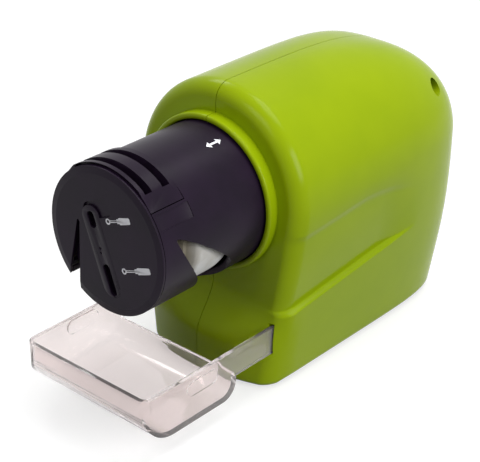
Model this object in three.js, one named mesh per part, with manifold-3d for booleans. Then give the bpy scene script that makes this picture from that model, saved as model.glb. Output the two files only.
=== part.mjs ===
// Cordless electric knife sharpener: two-shell housing, turning sharpening head and chip tray.
// Millimetres, +Z up. While it is built, Y runs along the head's axis, away from the user, with
// y = 0 on the housing's front, and z = 0 on the head's axis. The assembly group then moves the
// middle of the footprint on the table to the origin.
import * as THREE from 'three';
import { mergeVertices } from 'three/addons/utils/BufferGeometryUtils.js';
import Module from 'manifold-3d';

const wasm = await Module();
wasm.setup();

// Clearances and counts
const GAP = 0.3; // between pieces that touch or are fitted together
const RUN_GAP = 0.4; // between pieces that turn or slide on each other
const OVERRUN = 5; // how far a cutting form runs past what it cuts
const HEAD_SIDES = 60;
const ROUND_SIDES = 40;
const CAN_SIDES = 32;
const DISC_SIDES = 24;
const PIN_SIDES = 16;
const HOLE_SIDES = 12;
const SAME_POINT = 1e-5; // corners of a solid closer than this are one corner
const HALVINGS = 26; // steps of the search for the housing's surface

// Housing form
const BODY_HALF_WIDTH = 40.9; // at the head's axis
const BASE_BESIDE_BOX = 3.55; // underside's edge beyond the battery box, at each side
const BODY_TOP = 41.4; // ridge above the axis
const BASE_DROP = 73.2; // underside below the axis
const BASE_BEHIND_BOX = 22.3; // underside's rear end behind the battery box
const REAR_RAKE = 6; // rear end at the axis height, behind the underside's
const WALL = 2.4;
const FRONT_FILLET = 6.5;
const BASE_FILLET = 2.6;
const SEAM_GAP = 0.3;
const WIDTH_POWER = 1.3; // how fast the width draws in below the axis
const REAR_POWER = 1.13; // how fast the rear draws in below the axis
const PLAN_POWER_TOP = 3.05; // squareness of the plan outline above the axis
const PLAN_POWER_LOW = 4.15; // and at the base
const LENGTH_POWER = 2.35; // how late the sides turn in towards the rear
const POWER_FROM_Z = 10; // heights between which the outline changes its squareness
const POWER_TO_Z = -50;
const LEAST_SLOPE_SHARE = 0.2;
const LOWEST_SHARE = 1.2; // the form's rules hold to a little below the underside

// Housing front: nearly upright round the head, with a chin that swells forward below it
const FACE_TOP_LEAN = 0.03; // backward lean of the face, as a slope
const FACE_Y = 2.3;
const FACE_LOW_Y = 1;
const CHIN = 8.4;
const CHIN_FROM_Z = -37;
const CHIN_TO_Z = -58;
const CHIN_HALF_WIDTH = 34;

// Side grips: a long shallow recess on each side, open to the front
const GRIP_STEP = 0.8;
const GRIP_DEPTH = 3.2;
const GRIP_TOP_Z = -9.1;
const GRIP_BOTTOM_Z = -41.5;
const GRIP_TOP_RISE = 0.075; // slope of the upper crease
const GRIP_BOTTOM_RISE = 0.125; // slope of the lower crease
const GRIP_BEND_Y = 43; // behind here the upper crease turns down
const GRIP_BEND_RADIUS = 91;
const GRIP_FADE_FROM_Y = 56;
const GRIP_END_Y = 82;
const GRIP_CREASE = 1.4;
const GRIP_LEDGE = 3;

// How the housing's skin and hollow are divided: lines over the flanks, as shares of the height below
// the grip and of the grip's own height, then as tilts about the axis; and stations along each line
const SKIN_LOW_SHARES = [0.0001, 0.015, 0.08, 0.35, 0.7, 1];
const SKIN_GRIP_SHARES = [0.04, 0.35, 0.7, 0.96, 1.04];
const SKIN_TILTS = [0, 15, 30, 45, 60, 75, 90];
const HOLLOW_LOW_SHARES = [0.0001, 0.5, 1];
const HOLLOW_GRIP_SHARES = [0.04, 0.95, 1.05];
const HOLLOW_TILTS = [0, 22.5, 45, 67.5, 90];
const FACE_STATION_SHARES = [0, 0.5, 1];
const CORNER_TURNS = [22.5, 45, 67.5, 90]; // degrees round the front fillet
const SIDE_STATION_SHARES = [0.12, 0.22, 0.34, 0.44, 0.53, 0.62, 0.7, 0.78];
const REAR_CENTRE_SHARE = 0.6;
const REAR_AIM_SHARES = [1.5, 1.15, 0.9, 0.7, 0.45, 0.2, 0];

// Sharpening head
const HEAD_RADIUS = 27.9;
const HEAD_LENGTH = 52.3; // in front of y = 0
const DISC_THICK = 2.3; // in its middle
const RIM_THICK = 1.2;
const RIM_BEVEL_WIDTH = 2.7;
const RIM_BEVEL_DROP = 0.4;
const SLEEVE_WALL = 2.3;
const SLEEVE_REAR_Y = 16;
const SLEEVE_LIP = 1.8; // inward lip at the sleeve's rear end
const SLEEVE_LIP_LENGTH = 1.6;
const SPIGOT_LENGTH = 3.6;
const SPIGOT_WALL = 1.6;
const COLLAR_THICK = 2.4;
const COLLAR_PROUD = 3.1; // how far the collar stands in front of the face
const HEAD_HOLE_GAP = 0.4;
const PULL_TRAVEL = 8;

// Knife guide: an arc-shaped insert in the top of the sleeve, with two slots across it
const INSERT_HALF_ANGLE = 50.5; // degrees from the top
const INSERT_PLAY_ANGLE = 0.3; // degrees of clearance at each of its ends
const INSERT_FULL_ANGLE = 34; // from here it slopes down to the sleeve's surface at its ends
const INSERT_LENGTH = 15.6;
const INSERT_PROUD = 1; // above the sleeve's surface
const INSERT_SINK = 5.3; // from the sleeve's surface in to its underside
const SLOT_LEFT_ANGLE = -43;
const SLOT_RIGHT_ANGLE = 37;
const SLOT_OPEN_HALF_ANGLE = 20; // in the middle the slots reach through to the wheel
const SLOT_DEPTH = 4.9;
const SLOT_FRONT_AT = 3.2; // from the front of the head
const SLOT_FRONT_WIDTH = 3.3;
const SLOT_REAR_AT = 11.45;
const SLOT_REAR_WIDTH = 3.3;

// Side window in the sleeve, through which chips fall: [degrees from the top, share of the radius
// behind the head's front]
const WINDOW_SHARES = [[75, 0.31], [83, 0.57], [96, 0.9], [110, 1.21], [118, 1.34], [126, 1.4], [136, 1.42],
  [158, 1.42], [166, 1.34], [168, 1.18], [163, 1.04], [150, 0.94], [126, 0.79], [109, 0.61], [94, 0.44],
  [80, 0.31]];

// Front disc: [x, z] as shares of the head's radius
const NOTCH_SHARES = [[-0.5, 0.17], [-0.78, -1.02], [-0.54, -1.2], [-0.46, 0.14]];
const NOTCH_DEPTH = 9.6; // into the sleeve
const GUIDE_CENTRE_SHARES = [-0.08, -0.16];
const GUIDE_LENGTH_SHARE = 0.618; // from its centre to each end
const GUIDE_HALF_WIDTH = 4.1;
const GUIDE_TILT = 20.6; // degrees off upright
const GUIDE_PROUD = 0.3;
// Slots of the guide: [centre from the guide's centre, half length], along it
const GUIDE_UPPER_SHARES = [0.425, 0.113];
const GUIDE_LOWER_SHARES = [-0.389, 0.218];
const GUIDE_SLOT_HALF_WIDTH = 1.6;
const GUIDE_PIN_RADIUS = 0.8;
const BAFFLE_THICK = 1;
const BAFFLE_NOTCH_SHARES = [[-0.58, -0.1], [-0.66, -1], [-0.6, -1], [-0.52, -0.1]];
const SPIGOT_CLEAR_ANGLE = 3; // degrees left free beside the insert

// Grinding wheel: places behind the head's front, and how far its turned steps draw in
const WHEEL_FRONT = 4.4;
const WHEEL_REAR = 40;
const WHEEL_SLEEVE_GAP = 0.5; // between the wheel's drum and the sleeve
const RIDGE_INSERT_GAP = 0.6; // between the wheel's ridge and the knife guide
const RIDGE_FRONT = 7;
const RIDGE_REAR = 10.6;
const FLANK_DROP = 8; // from the ridge in to the front face
const VALLEY_DROP = 5; // from the ridge in to the valley behind it
const VALLEY_AT = 12.6;
const VALLEY_LENGTH = 1.4;
const SHOULDER_AT = 15.8;
const DRUM_FROM = 18.2;
const WHEEL_CHAMFER = 0.9;
const WHEEL_REAR_ROUND = 2.4; // how far along the drum its rear end is rounded off
const WHEEL_BORE = 4;
const NUT_POCKET_RADIUS = 7;
const NUT_POCKET_DEPTH = 2.6;
const NUT_RADIUS = 3.6;
const NUT_THICK = 2.2;
const HUB_WALL = 1.9;
const HUB_FLANGE_RADIUS = 9;
const HUB_FLANGE_THICK = 1.8;

// Motor and its bracket
const SHAFT_RADIUS = 1.5;
const MOTOR_RADIUS = 13.8;
const MOTOR_LENGTH = 38;
const MOTOR_BOSS_RADIUS = 4.6;
const MOTOR_CAP_LENGTH = 3;
const TERMINAL_AT = 6;
const TERMINAL_SIZE = 2.4;
const TERMINAL_THICK = 0.6;
const BRACKET_FRONT_Y = 2;
const BRACKET_PLATE = 2.5;
const BRACKET_WALL = 2;
const FLANGE_Y = 21.5;
const FLANGE_THICK = 2.5;
const FLANGE_RADIUS = 33.6;
const KEY_HEIGHT = 1.6;
const KEY_WIDTH = 4;
const MOTOR_SCREW_AT = 8;
const SCREW_RADIUS = 1.1;
const SCREW_HEAD_RADIUS = 2.4;
const SCREW_HEAD_THICK = 1.1;
const MOTOR_SCREW_BITE = 3.5;

// Index carrier and the snap ring that keeps the head on it
const CARRIER_Y = 6.2;
const CARRIER_LENGTH = 7.9;
const CARRIER_WALL = 3.8;
const RING_THICK = 1.4;
const RING_GROOVE = 0.8;
const RING_WIDTH = 2.5;

// Ribs that grip the bracket's flange
const RIB_THICK = 1.2;
const RIB_INNER_RADIUS = 31;
const RIB_LOWEST_Z = -36;

// Chip tray, at rest as pulled out
const TRAY_INSET = 0.7; // tray's sides inside the housing's underside
const TRAY_FRONT_Y = -66;
const TRAY_REAR_Y = -19.3;
const TRAY_TOP_Z = -46.5;
const TRAY_FLOOR_Z = -66;
const TRAY_WALL = 1.6;
const TRAY_FRONT_RADIUS = 14;
const TRAY_REAR_RADIUS = 7;
const TRAY_CORNER = 4;
const TRAY_REAR_DROP = 10; // rear wall below the rim
const TRAY_TRAVEL = 11;
const ARM_HEIGHT = 11;
const ARM_END_Y = 14;
const ARM_HOOK = 1;
const ARM_HOOK_LENGTH = 2;
const TRAY_PAD_AT_Y = -37.5;
const TRAY_PAD_DROP = 5; // pad's centre below the rim
const TRAY_PAD_HALF_LENGTH = 7.8;
const TRAY_PAD_HALF_HEIGHT = 2.9;
const TRAY_PAD_PROUD = 0.6;
const ARM_SLOT_TOP_GAP = 1.3;
const RAIL_THICK = 1.4;
const RAIL_END_Y = 29;

// Cells, their box and its door
const CELL_RADIUS = 7.1;
const CELL_HALF_LENGTH = 24.6;
const CELL_NUB_RADIUS = 2.7;
const CELL_NUB = 1;
const CELL_COUNT = 4;
const CELL_SPACE = 0.6; // between neighbouring cells
const BOX_FRONT_Y = 30.5;
const BOX_WALL = 1.2;
const BOX_TOP_WALL = 1.4;
const CONTACT_SPACE = 1.35; // between a cell's nub and the box's side wall
const CONTACT_THICK = 0.45;
const CONTACT_HALF_HEIGHT = 4.5;
const SPRING_BASE_RADIUS = 4;
const SPRING_TIP_RADIUS = 2.5;
const EAR_SIZE = 7;
const EAR_HEIGHT = 5;
const EAR_ROOT = 0.6; // how far an ear runs into the box's wall
const FRONT_EAR_X = 14;
const REAR_EAR_X = 10;
const DOOR_PLATE = 1;
const DOOR_MARGIN = 1.8; // door plate beyond the bay's opening
const DOOR_RIB = 1.2;
const LATCH_HALF_WIDTH = 6;
const LATCH_DEPTH = 2.4;

// Screws through the housing, and feet
const BASE_SCREW_HEAD_THICK = 0.9;
const SHELL_SCREW_FROM_REAR = 23.2;
const SHELL_SCREW_Z = 20.2;
const SHELL_SCREW_RECESS = 3.1;
const SHELL_SCREW_SEAT_X = 12;
const SHELL_SCREW_END_X = -9;
const BOSS_WALL = 2.6;
const FOOT_RADIUS = 4.5;
const FOOT_THICK = 1.6;
const FOOT_PROUD = 1;
const FOOT_FRONT_X = 22;
const FOOT_FRONT_Y = 8;
const FOOT_REAR_X = 18;
const FOOT_FROM_REAR = 14;

// Switch
const SWITCH_Z = -14;
const SWITCH_HALF_WIDTH = 9.3;
const SWITCH_HALF_HEIGHT = 6.3;
const SWITCH_DEPTH = 16;
const BEZEL_LIP = 1.4;
const BEZEL_THICK = 1.5;
const ROCKER_HALF_WIDTH = 6.4;
const ROCKER_HALF_HEIGHT = 4.5;
const ROCKER_PIVOT_DEPTH = 3.4; // pivot behind the bezel's back
const ROCKER_REACH = 5.6; // from the pivot to the rocker's ends
const ROCKER_DISH = 0.7;
const ROCKER_BACK = 3;
const ROCKER_WAIST_SHARE = 0.9;
const ROCKER_TILT = 7; // degrees, half of its travel
const POCKET_DEPTH = 8;

// Leads
const LEAD_RADIUS = 0.8;
const LEAD_STEPS = 18;
const LEAD_SIDES = 6;

const radians = THREE.MathUtils.degToRad;
const AXIS_HEIGHT = BASE_DROP + FOOT_PROUD;
const HEAD_FRONT_Y = -HEAD_LENGTH;
const behindFront = (distance) => HEAD_FRONT_Y + distance;

// The battery box is as large as its cells, and the housing's underside goes with the box
const CELL_PITCH = 2 * CELL_RADIUS + CELL_SPACE;
const BOX_REAR_Y = BOX_FRONT_Y + CELL_COUNT * CELL_PITCH + 2 * BOX_WALL + 2 * GAP;
const BOX_HALF_WIDTH = CELL_HALF_LENGTH + CELL_NUB + CONTACT_SPACE + BOX_WALL;
const BASE_HALF_WIDTH = BOX_HALF_WIDTH + BASE_BESIDE_BOX;
const BASE_REAR = BOX_REAR_Y + BASE_BEHIND_BOX;
const BODY_REAR = BASE_REAR + REAR_RAKE;
const TRAY_HALF_WIDTH = BASE_HALF_WIDTH - TRAY_INSET;

// Solids

// A closed geometry as a manifold, turned the right way out
function solid(geometry) {
  const plain = geometry.index ? geometry.clone() : geometry;
  plain.deleteAttribute('normal');
  plain.deleteAttribute('uv');
  const merged = mergeVertices(plain, SAME_POINT);
  const index = merged.index.array;
  const triVerts = [];
  for (let i = 0; i < index.length; i += 3) {
    const [a, b, c] = [index[i], index[i + 1], index[i + 2]];
    if (a !== b && b !== c && c !== a) triVerts.push(a, b, c);
  }
  const vertProperties = Float32Array.from(merged.attributes.position.array);
  const build = (tris) => new wasm.Manifold(
    new wasm.Mesh({ numProp: 3, vertProperties, triVerts: Uint32Array.from(tris) }));
  const made = build(triVerts);
  if (made.volume() >= 0) return made;
  return build(triVerts.reverse());
}

function join(parts) {
  return parts.reduce((sum, part) => sum.add(part));
}

function cutOut(form, cuts) {
  return cuts.reduce((rest, cut) => rest.subtract(cut), form);
}

function box(fromPoint, toPoint) {
  const size = toPoint.map((value, i) => value - fromPoint[i]);
  const geometry = new THREE.BoxGeometry(...size);
  geometry.translate(...fromPoint.map((value, i) => value + size[i] / 2));
  return solid(geometry);
}

// Turned piece on the head's axis, from a closed profile of [radius, y]
function turned(profile, sides = ROUND_SIDES) {
  const points = profile.map(([radius, y]) => new THREE.Vector2(radius, y));
  return solid(new THREE.LatheGeometry([...points, points[0]], sides));
}

function ring(innerRadius, outerRadius, fromY, toY, sides = ROUND_SIDES) {
  const profile = [[innerRadius, fromY], [outerRadius, fromY], [outerRadius, toY], [innerRadius, toY]];
  return turned(profile, sides);
}

function rodY(radius, fromY, toY, at = [0, 0], sides = PIN_SIDES) {
  const geometry = new THREE.CylinderGeometry(radius, radius, toY - fromY, sides);
  geometry.translate(at[0], (fromY + toY) / 2, at[1]);
  return solid(geometry);
}

function rodX(radius, fromX, toX, at, sides = PIN_SIDES) {
  const geometry = new THREE.CylinderGeometry(radius, radius, toX - fromX, sides);
  geometry.rotateZ(-Math.PI / 2);
  geometry.translate((fromX + toX) / 2, at[0], at[1]);
  return solid(geometry);
}

function rodZ(radius, fromZ, toZ, at, sides = PIN_SIDES) {
  const geometry = new THREE.CylinderGeometry(radius, radius, toZ - fromZ, sides);
  geometry.rotateX(Math.PI / 2);
  geometry.translate(at[0], at[1], (fromZ + toZ) / 2);
  return solid(geometry);
}

function shapeOf(points) {
  return new THREE.Shape(points.map(([a, b]) => new THREE.Vector2(a, b)));
}

// An outline in x and z, pushed along y
function prismY(points, fromY, toY) {
  const geometry = new THREE.ExtrudeGeometry(shapeOf(points), { depth: toY - fromY, bevelEnabled: false });
  geometry.rotateX(Math.PI / 2);
  geometry.translate(0, toY, 0);
  return solid(geometry);
}

// An outline in y and z, pushed along x
function prismX(points, fromX, toX) {
  const geometry = new THREE.ExtrudeGeometry(shapeOf(points), { depth: toX - fromX, bevelEnabled: false });
  const toWorld = new THREE.Matrix4().makeBasis(
    new THREE.Vector3(0, 1, 0), new THREE.Vector3(0, 0, 1), new THREE.Vector3(1, 0, 0));
  geometry.applyMatrix4(toWorld);
  geometry.translate(fromX, 0, 0);
  return solid(geometry);
}

// An outline in x and y, pushed along z
function prismZ(points, fromZ, toZ) {
  const geometry = new THREE.ExtrudeGeometry(shapeOf(points), { depth: toZ - fromZ, bevelEnabled: false });
  geometry.translate(0, 0, fromZ);
  return solid(geometry);
}

function arcPoints(centre, radius, fromDegrees, toDegrees, steps) {
  return Array.from({ length: steps + 1 }, (unused, i) => {
    const angle = radians(fromDegrees + ((toDegrees - fromDegrees) * i) / steps);
    return [centre[0] + radius * Math.cos(angle), centre[1] + radius * Math.sin(angle)];
  });
}

// A bar with round ends, as an outline about its own centre, turned by an angle
function stadium(centre, halfLength, halfWidth, turn = 0, steps = 6) {
  const straight = halfLength - halfWidth;
  const points = [...arcPoints([0, straight], halfWidth, 0, 180, steps),
    ...arcPoints([0, -straight], halfWidth, 180, 360, steps)];
  const [cos, sin] = [Math.cos(radians(turn)), Math.sin(radians(turn))];
  return points.map(([a, b]) => [centre[0] + a * cos - b * sin, centre[1] + a * sin + b * cos]);
}

// A wedge of the head between two angles from the top
function sector(fromAngle, toAngle, fromY, toY) {
  const outer = arcPoints([0, 0], 2 * HEAD_RADIUS, 90 - toAngle, 90 - fromAngle, 12);
  return prismY([[0, 0], ...outer], fromY, toY);
}

// A patch of the head's surface, given as [degrees from the top, y], cut out along the radius
function radialPatch(points, innerRadius, outerRadius) {
  const depth = outerRadius - innerRadius;
  const geometry = new THREE.ExtrudeGeometry(shapeOf(points), { depth, bevelEnabled: false });
  const position = geometry.attributes.position;
  for (let i = 0; i < position.count; i += 1) {
    const angle = radians(position.getX(i));
    const radius = innerRadius + position.getZ(i);
    position.setXYZ(i, radius * Math.sin(angle), position.getY(i), radius * Math.cos(angle));
  }
  return solid(geometry);
}

// Housing form, as a distance field: negative inside, zero on the surface

function smoothStep(from, to, value) {
  const t = THREE.MathUtils.clamp((value - from) / (to - from), 0, 1);
  return t * t * (3 - 2 * t);
}

function bodyPower(x, y, z) {
  const low = smoothStep(POWER_FROM_Z, POWER_TO_Z, z);
  const power = PLAN_POWER_TOP + (PLAN_POWER_LOW - PLAN_POWER_TOP) * low;
  const drop = THREE.MathUtils.clamp(-z / BASE_DROP, 0, LOWEST_SHARE);
  const halfWidth = BODY_HALF_WIDTH - (BODY_HALF_WIDTH - BASE_HALF_WIDTH) * drop ** WIDTH_POWER;
  const rear = BODY_REAR - (BODY_REAR - BASE_REAR) * drop ** REAR_POWER;
  const across = (Math.abs(x) / halfWidth) ** power;
  const along = (Math.max(y, 0) / rear) ** (LENGTH_POWER * power);
  return (across + along) ** (2 / power) + (Math.max(z, 0) / BODY_TOP) ** 2;
}

function bodyDistance(x, y, z) {
  const step = BODY_HALF_WIDTH / 1000;
  const value = bodyPower(x, y, z);
  const slope = Math.hypot(
    bodyPower(x + step, y, z) - bodyPower(x - step, y, z),
    bodyPower(x, y + step, z) - bodyPower(x, y - step, z),
    bodyPower(x, y, z + step) - bodyPower(x, y, z - step)) / (2 * step);
  return (value - 1) / Math.max(slope, LEAST_SLOPE_SHARE / BODY_HALF_WIDTH);
}

function faceY(x, z) {
  const low = smoothStep(CHIN_FROM_Z, CHIN_TO_Z, z);
  const upright = FACE_Y + FACE_TOP_LEAN * Math.max(z - CHIN_FROM_Z, 0);
  const bow = 1 - Math.min((x / CHIN_HALF_WIDTH) ** 2, 1);
  return upright + (FACE_LOW_Y - FACE_Y - CHIN * bow) * low;
}

function gripTop(y) {
  const bend = Math.max(y - GRIP_BEND_Y, 0);
  return GRIP_TOP_Z + GRIP_TOP_RISE * Math.min(y, GRIP_BEND_Y) - (bend * bend) / (2 * GRIP_BEND_RADIUS);
}

function gripBottom(y) {
  return GRIP_BOTTOM_Z + GRIP_BOTTOM_RISE * y;
}

function gripDepth(y, z) {
  const [top, bottom] = [gripTop(y), gripBottom(y)];
  const down = (top - z) / (top - bottom);
  const inside = smoothStep(top + GRIP_CREASE / 2, top - GRIP_CREASE / 2, z)
    * smoothStep(bottom - GRIP_LEDGE / 2, bottom + GRIP_LEDGE / 2, z);
  const slanted = GRIP_STEP + (GRIP_DEPTH - GRIP_STEP) * THREE.MathUtils.clamp(down, 0, 1);
  return inside * slanted * (1 - smoothStep(GRIP_FADE_FROM_Y, GRIP_END_Y, y));
}

// The larger of two distances, with a round fillet where they meet
function filletMax(a, b, radius) {
  const corner = Math.hypot(Math.max(a + radius, 0), Math.max(b + radius, 0)) - radius;
  return Math.max(Math.min(Math.max(a, b), -radius), corner);
}

function housingDistance(x, y, z) {
  const sides = bodyDistance(x, y, z) + gripDepth(y, z) * smoothStep(0, BASE_HALF_WIDTH, Math.abs(x));
  const upper = filletMax(sides, faceY(x, z) - y, FRONT_FILLET);
  return filletMax(upper, -BASE_DROP - z, BASE_FILLET);
}

// How far the form at a given depth reaches from a point inside it, along a direction
function reachFrom(origin, direction, depth) {
  let [inside, outside] = [0, BODY_REAR + BASE_DROP];
  for (let k = 0; k < HALVINGS; k += 1) {
    const middle = (inside + outside) / 2;
    const point = origin.map((value, i) => value + direction[i] * middle);
    if (housingDistance(...point) + depth < 0) inside = middle;
    else outside = middle;
  }
  return inside;
}

// One line of the skin, from the middle of the front round one side to the middle of the rear. It lies
// at a height that may change with y, or, over the top, in a plane through the axis.
function skinLine(heightAt, tilt, depth) {
  const [cos, sin] = [Math.cos(radians(tilt)), Math.sin(radians(tilt))];
  const place = (out, y) => [out * cos, y, heightAt(y) + out * sin];
  const hit = (out, y, outPart, yPart) => {
    const reach = reachFrom(place(out, y), [outPart * cos, yPart, outPart * sin], depth);
    return place(out + outPart * reach, y + yPart * reach);
  };
  const bend = FRONT_FILLET - depth;
  const flankY = 2 * FRONT_FILLET;
  const flank = reachFrom(place(0, flankY), [cos, 0, sin], depth);
  const faceEdge = flank - bend;
  const front = FACE_STATION_SHARES.map((share) => hit(faceEdge * share, flankY, 0, -1));
  const cornerY = front[front.length - 1][1] + bend;
  const corner = CORNER_TURNS.map((turn) => hit(
    faceEdge, cornerY, Math.sin(radians(turn)), -Math.cos(radians(turn))));
  const sides = SIDE_STATION_SHARES.map((share) => hit(0, BODY_REAR * share, 1, 0));
  const rearY = BODY_REAR * REAR_CENTRE_SHARE;
  const rear = REAR_AIM_SHARES.map((share) => {
    const [outPart, yPart] = [flank * share, BODY_REAR - rearY];
    const length = Math.hypot(outPart, yPart);
    return hit(0, rearY, outPart / length, yPart / length);
  });
  return [...front, ...corner, ...sides, ...rear];
}

// The closed surface that lies a given depth under the housing's skin, as lines from the underside up
// both flanks to the ridge. The lines between follow the creases of the side grips.
function housingSurface(depth, lowShares, gripShares, tilts) {
  const base = -BASE_DROP + depth;
  const creases = (y) => [gripTop(Math.min(y, GRIP_END_Y)), gripBottom(Math.min(y, GRIP_END_Y))];
  const heights = [
    ...lowShares.map((share) => (y) => base + (creases(y)[1] - GRIP_LEDGE - base) * share),
    ...gripShares.map((share) => (y) => {
      const [top, bottom] = creases(y);
      return bottom + (top - bottom) * share;
    }),
  ];
  const lines = [...heights.map((heightAt) => skinLine(heightAt, 0, depth)),
    ...tilts.map((tilt) => skinLine(() => 0, tilt, depth))];
  const across = lines[0].length;
  const positions = [...lines, ...lines.map((line) => line.map(([x, y, z]) => [-x, y, z]))].flat(2);
  const index = [];
  const quad = (a, b, c, d) => index.push(a, b, c, a, c, d);
  const mirrored = lines.length * across;
  for (let u = 0; u + 1 < lines.length; u += 1) {
    for (let v = 0; v + 1 < across; v += 1) {
      const [a, b] = [u * across + v, (u + 1) * across + v];
      quad(a, a + 1, b + 1, b);
      quad(mirrored + a, mirrored + b, mirrored + b + 1, mirrored + a + 1);
    }
  }
  for (let v = 0; v + 1 < across; v += 1) quad(v, mirrored + v, mirrored + v + 1, v + 1);
  const geometry = new THREE.BufferGeometry();
  geometry.setAttribute('position', new THREE.Float32BufferAttribute(positions, 3));
  geometry.setIndex(index);
  return solid(geometry);
}

// Housing shells

const FLOOR_Z = -BASE_DROP + WALL; // inner face of the housing's underside
const CELL_Z = FLOOR_Z + CELL_RADIUS + 2 * GAP;
const BOX_TOP_Z = CELL_Z + CELL_RADIUS + GAP + BOX_TOP_WALL;
const EAR_Z = FLOOR_Z + GAP;
const BAY_HALF_WIDTH = BOX_HALF_WIDTH - BOX_WALL - GAP;
const BAY_FRONT_Y = BOX_FRONT_Y + BOX_WALL + GAP;
const BAY_REAR_Y = BOX_REAR_Y - BOX_WALL - GAP;
const COLLAR_INNER_RADIUS = HEAD_RADIUS + HEAD_HOLE_GAP;
const COLLAR_FRONT_Y = FACE_Y - COLLAR_PROUD;
const ARM_INNER_X = TRAY_HALF_WIDTH - TRAY_WALL;
const ARM_BOTTOM_Z = TRAY_TOP_Z - ARM_HEIGHT;
const BEZEL_BACK_Y = BODY_REAR - GAP;
const SHELL_SCREW_AT = [BODY_REAR - SHELL_SCREW_FROM_REAR, SHELL_SCREW_Z];
const BASE_SCREWS = [
  { name: 'base_screw_front_left', x: -FRONT_EAR_X, y: BOX_FRONT_Y - EAR_SIZE / 2, root: EAR_ROOT },
  { name: 'base_screw_front_right', x: FRONT_EAR_X, y: BOX_FRONT_Y - EAR_SIZE / 2, root: EAR_ROOT },
  { name: 'base_screw_rear_left', x: -REAR_EAR_X, y: BOX_REAR_Y + EAR_SIZE / 2, root: -EAR_ROOT },
  { name: 'base_screw_rear_right', x: REAR_EAR_X, y: BOX_REAR_Y + EAR_SIZE / 2, root: -EAR_ROOT },
];
const FEET = [[FOOT_FRONT_X, FOOT_FRONT_Y], [FOOT_REAR_X, BASE_REAR - FOOT_FROM_REAR]].flatMap(
  ([x, y]) => [[-x, y], [x, y]]);

// Channel of C section in which an arm of the tray slides, on the +x or -x side
function armRail(side) {
  const near = ARM_INNER_X - RUN_GAP - ARM_HOOK;
  const [bottom, top] = [ARM_BOTTOM_Z - RUN_GAP, TRAY_TOP_Z + ARM_SLOT_TOP_GAP];
  const outer = [near - RAIL_THICK, BODY_HALF_WIDTH];
  const inner = [near, TRAY_HALF_WIDTH + RUN_GAP];
  const span = ([a, b]) => (side > 0 ? [a, b] : [-b, -a]);
  const [outerX, innerX] = [span(outer), span(inner)];
  const start = FACE_LOW_Y;
  return box([outerX[0], start, bottom - RAIL_THICK], [outerX[1], RAIL_END_Y, top + RAIL_THICK])
    .subtract(box([innerX[0], start - OVERRUN, bottom], [innerX[1], RAIL_END_Y + OVERRUN, top]));
}

function armSlot(side) {
  const near = ARM_INNER_X - RUN_GAP;
  const far = TRAY_HALF_WIDTH + RUN_GAP;
  const [from, to] = side > 0 ? [near, far] : [-far, -near];
  return box([from, -CHIN - OVERRUN, ARM_BOTTOM_Z - RUN_GAP],
    [to, FACE_Y + WALL + OVERRUN, TRAY_TOP_Z + ARM_SLOT_TOP_GAP]);
}

function flangeRibs() {
  const plates = [FLANGE_Y - GAP - RIB_THICK, FLANGE_Y + FLANGE_THICK + GAP].map((y) => {
    const rearY = y + RIB_THICK;
    const plate = box([-BODY_HALF_WIDTH, y, RIB_LOWEST_Z], [BODY_HALF_WIDTH, rearY, BODY_TOP]);
    return plate.subtract(rodY(RIB_INNER_RADIUS, y - OVERRUN, rearY + OVERRUN, [0, 0], ROUND_SIDES));
  });
  return join(plates);
}

// The round lip of the housing in which the head sits
function collar() {
  const [inner, outer] = [COLLAR_INNER_RADIUS, COLLAR_INNER_RADIUS + COLLAR_THICK];
  const bevel = COLLAR_THICK / 3;
  const rearY = FACE_Y + 2 * WALL;
  return turned([[inner, COLLAR_FRONT_Y + bevel], [inner + bevel, COLLAR_FRONT_Y],
    [outer - bevel, COLLAR_FRONT_Y], [outer, COLLAR_FRONT_Y + bevel], [outer, rearY], [inner, rearY]]);
}

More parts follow.
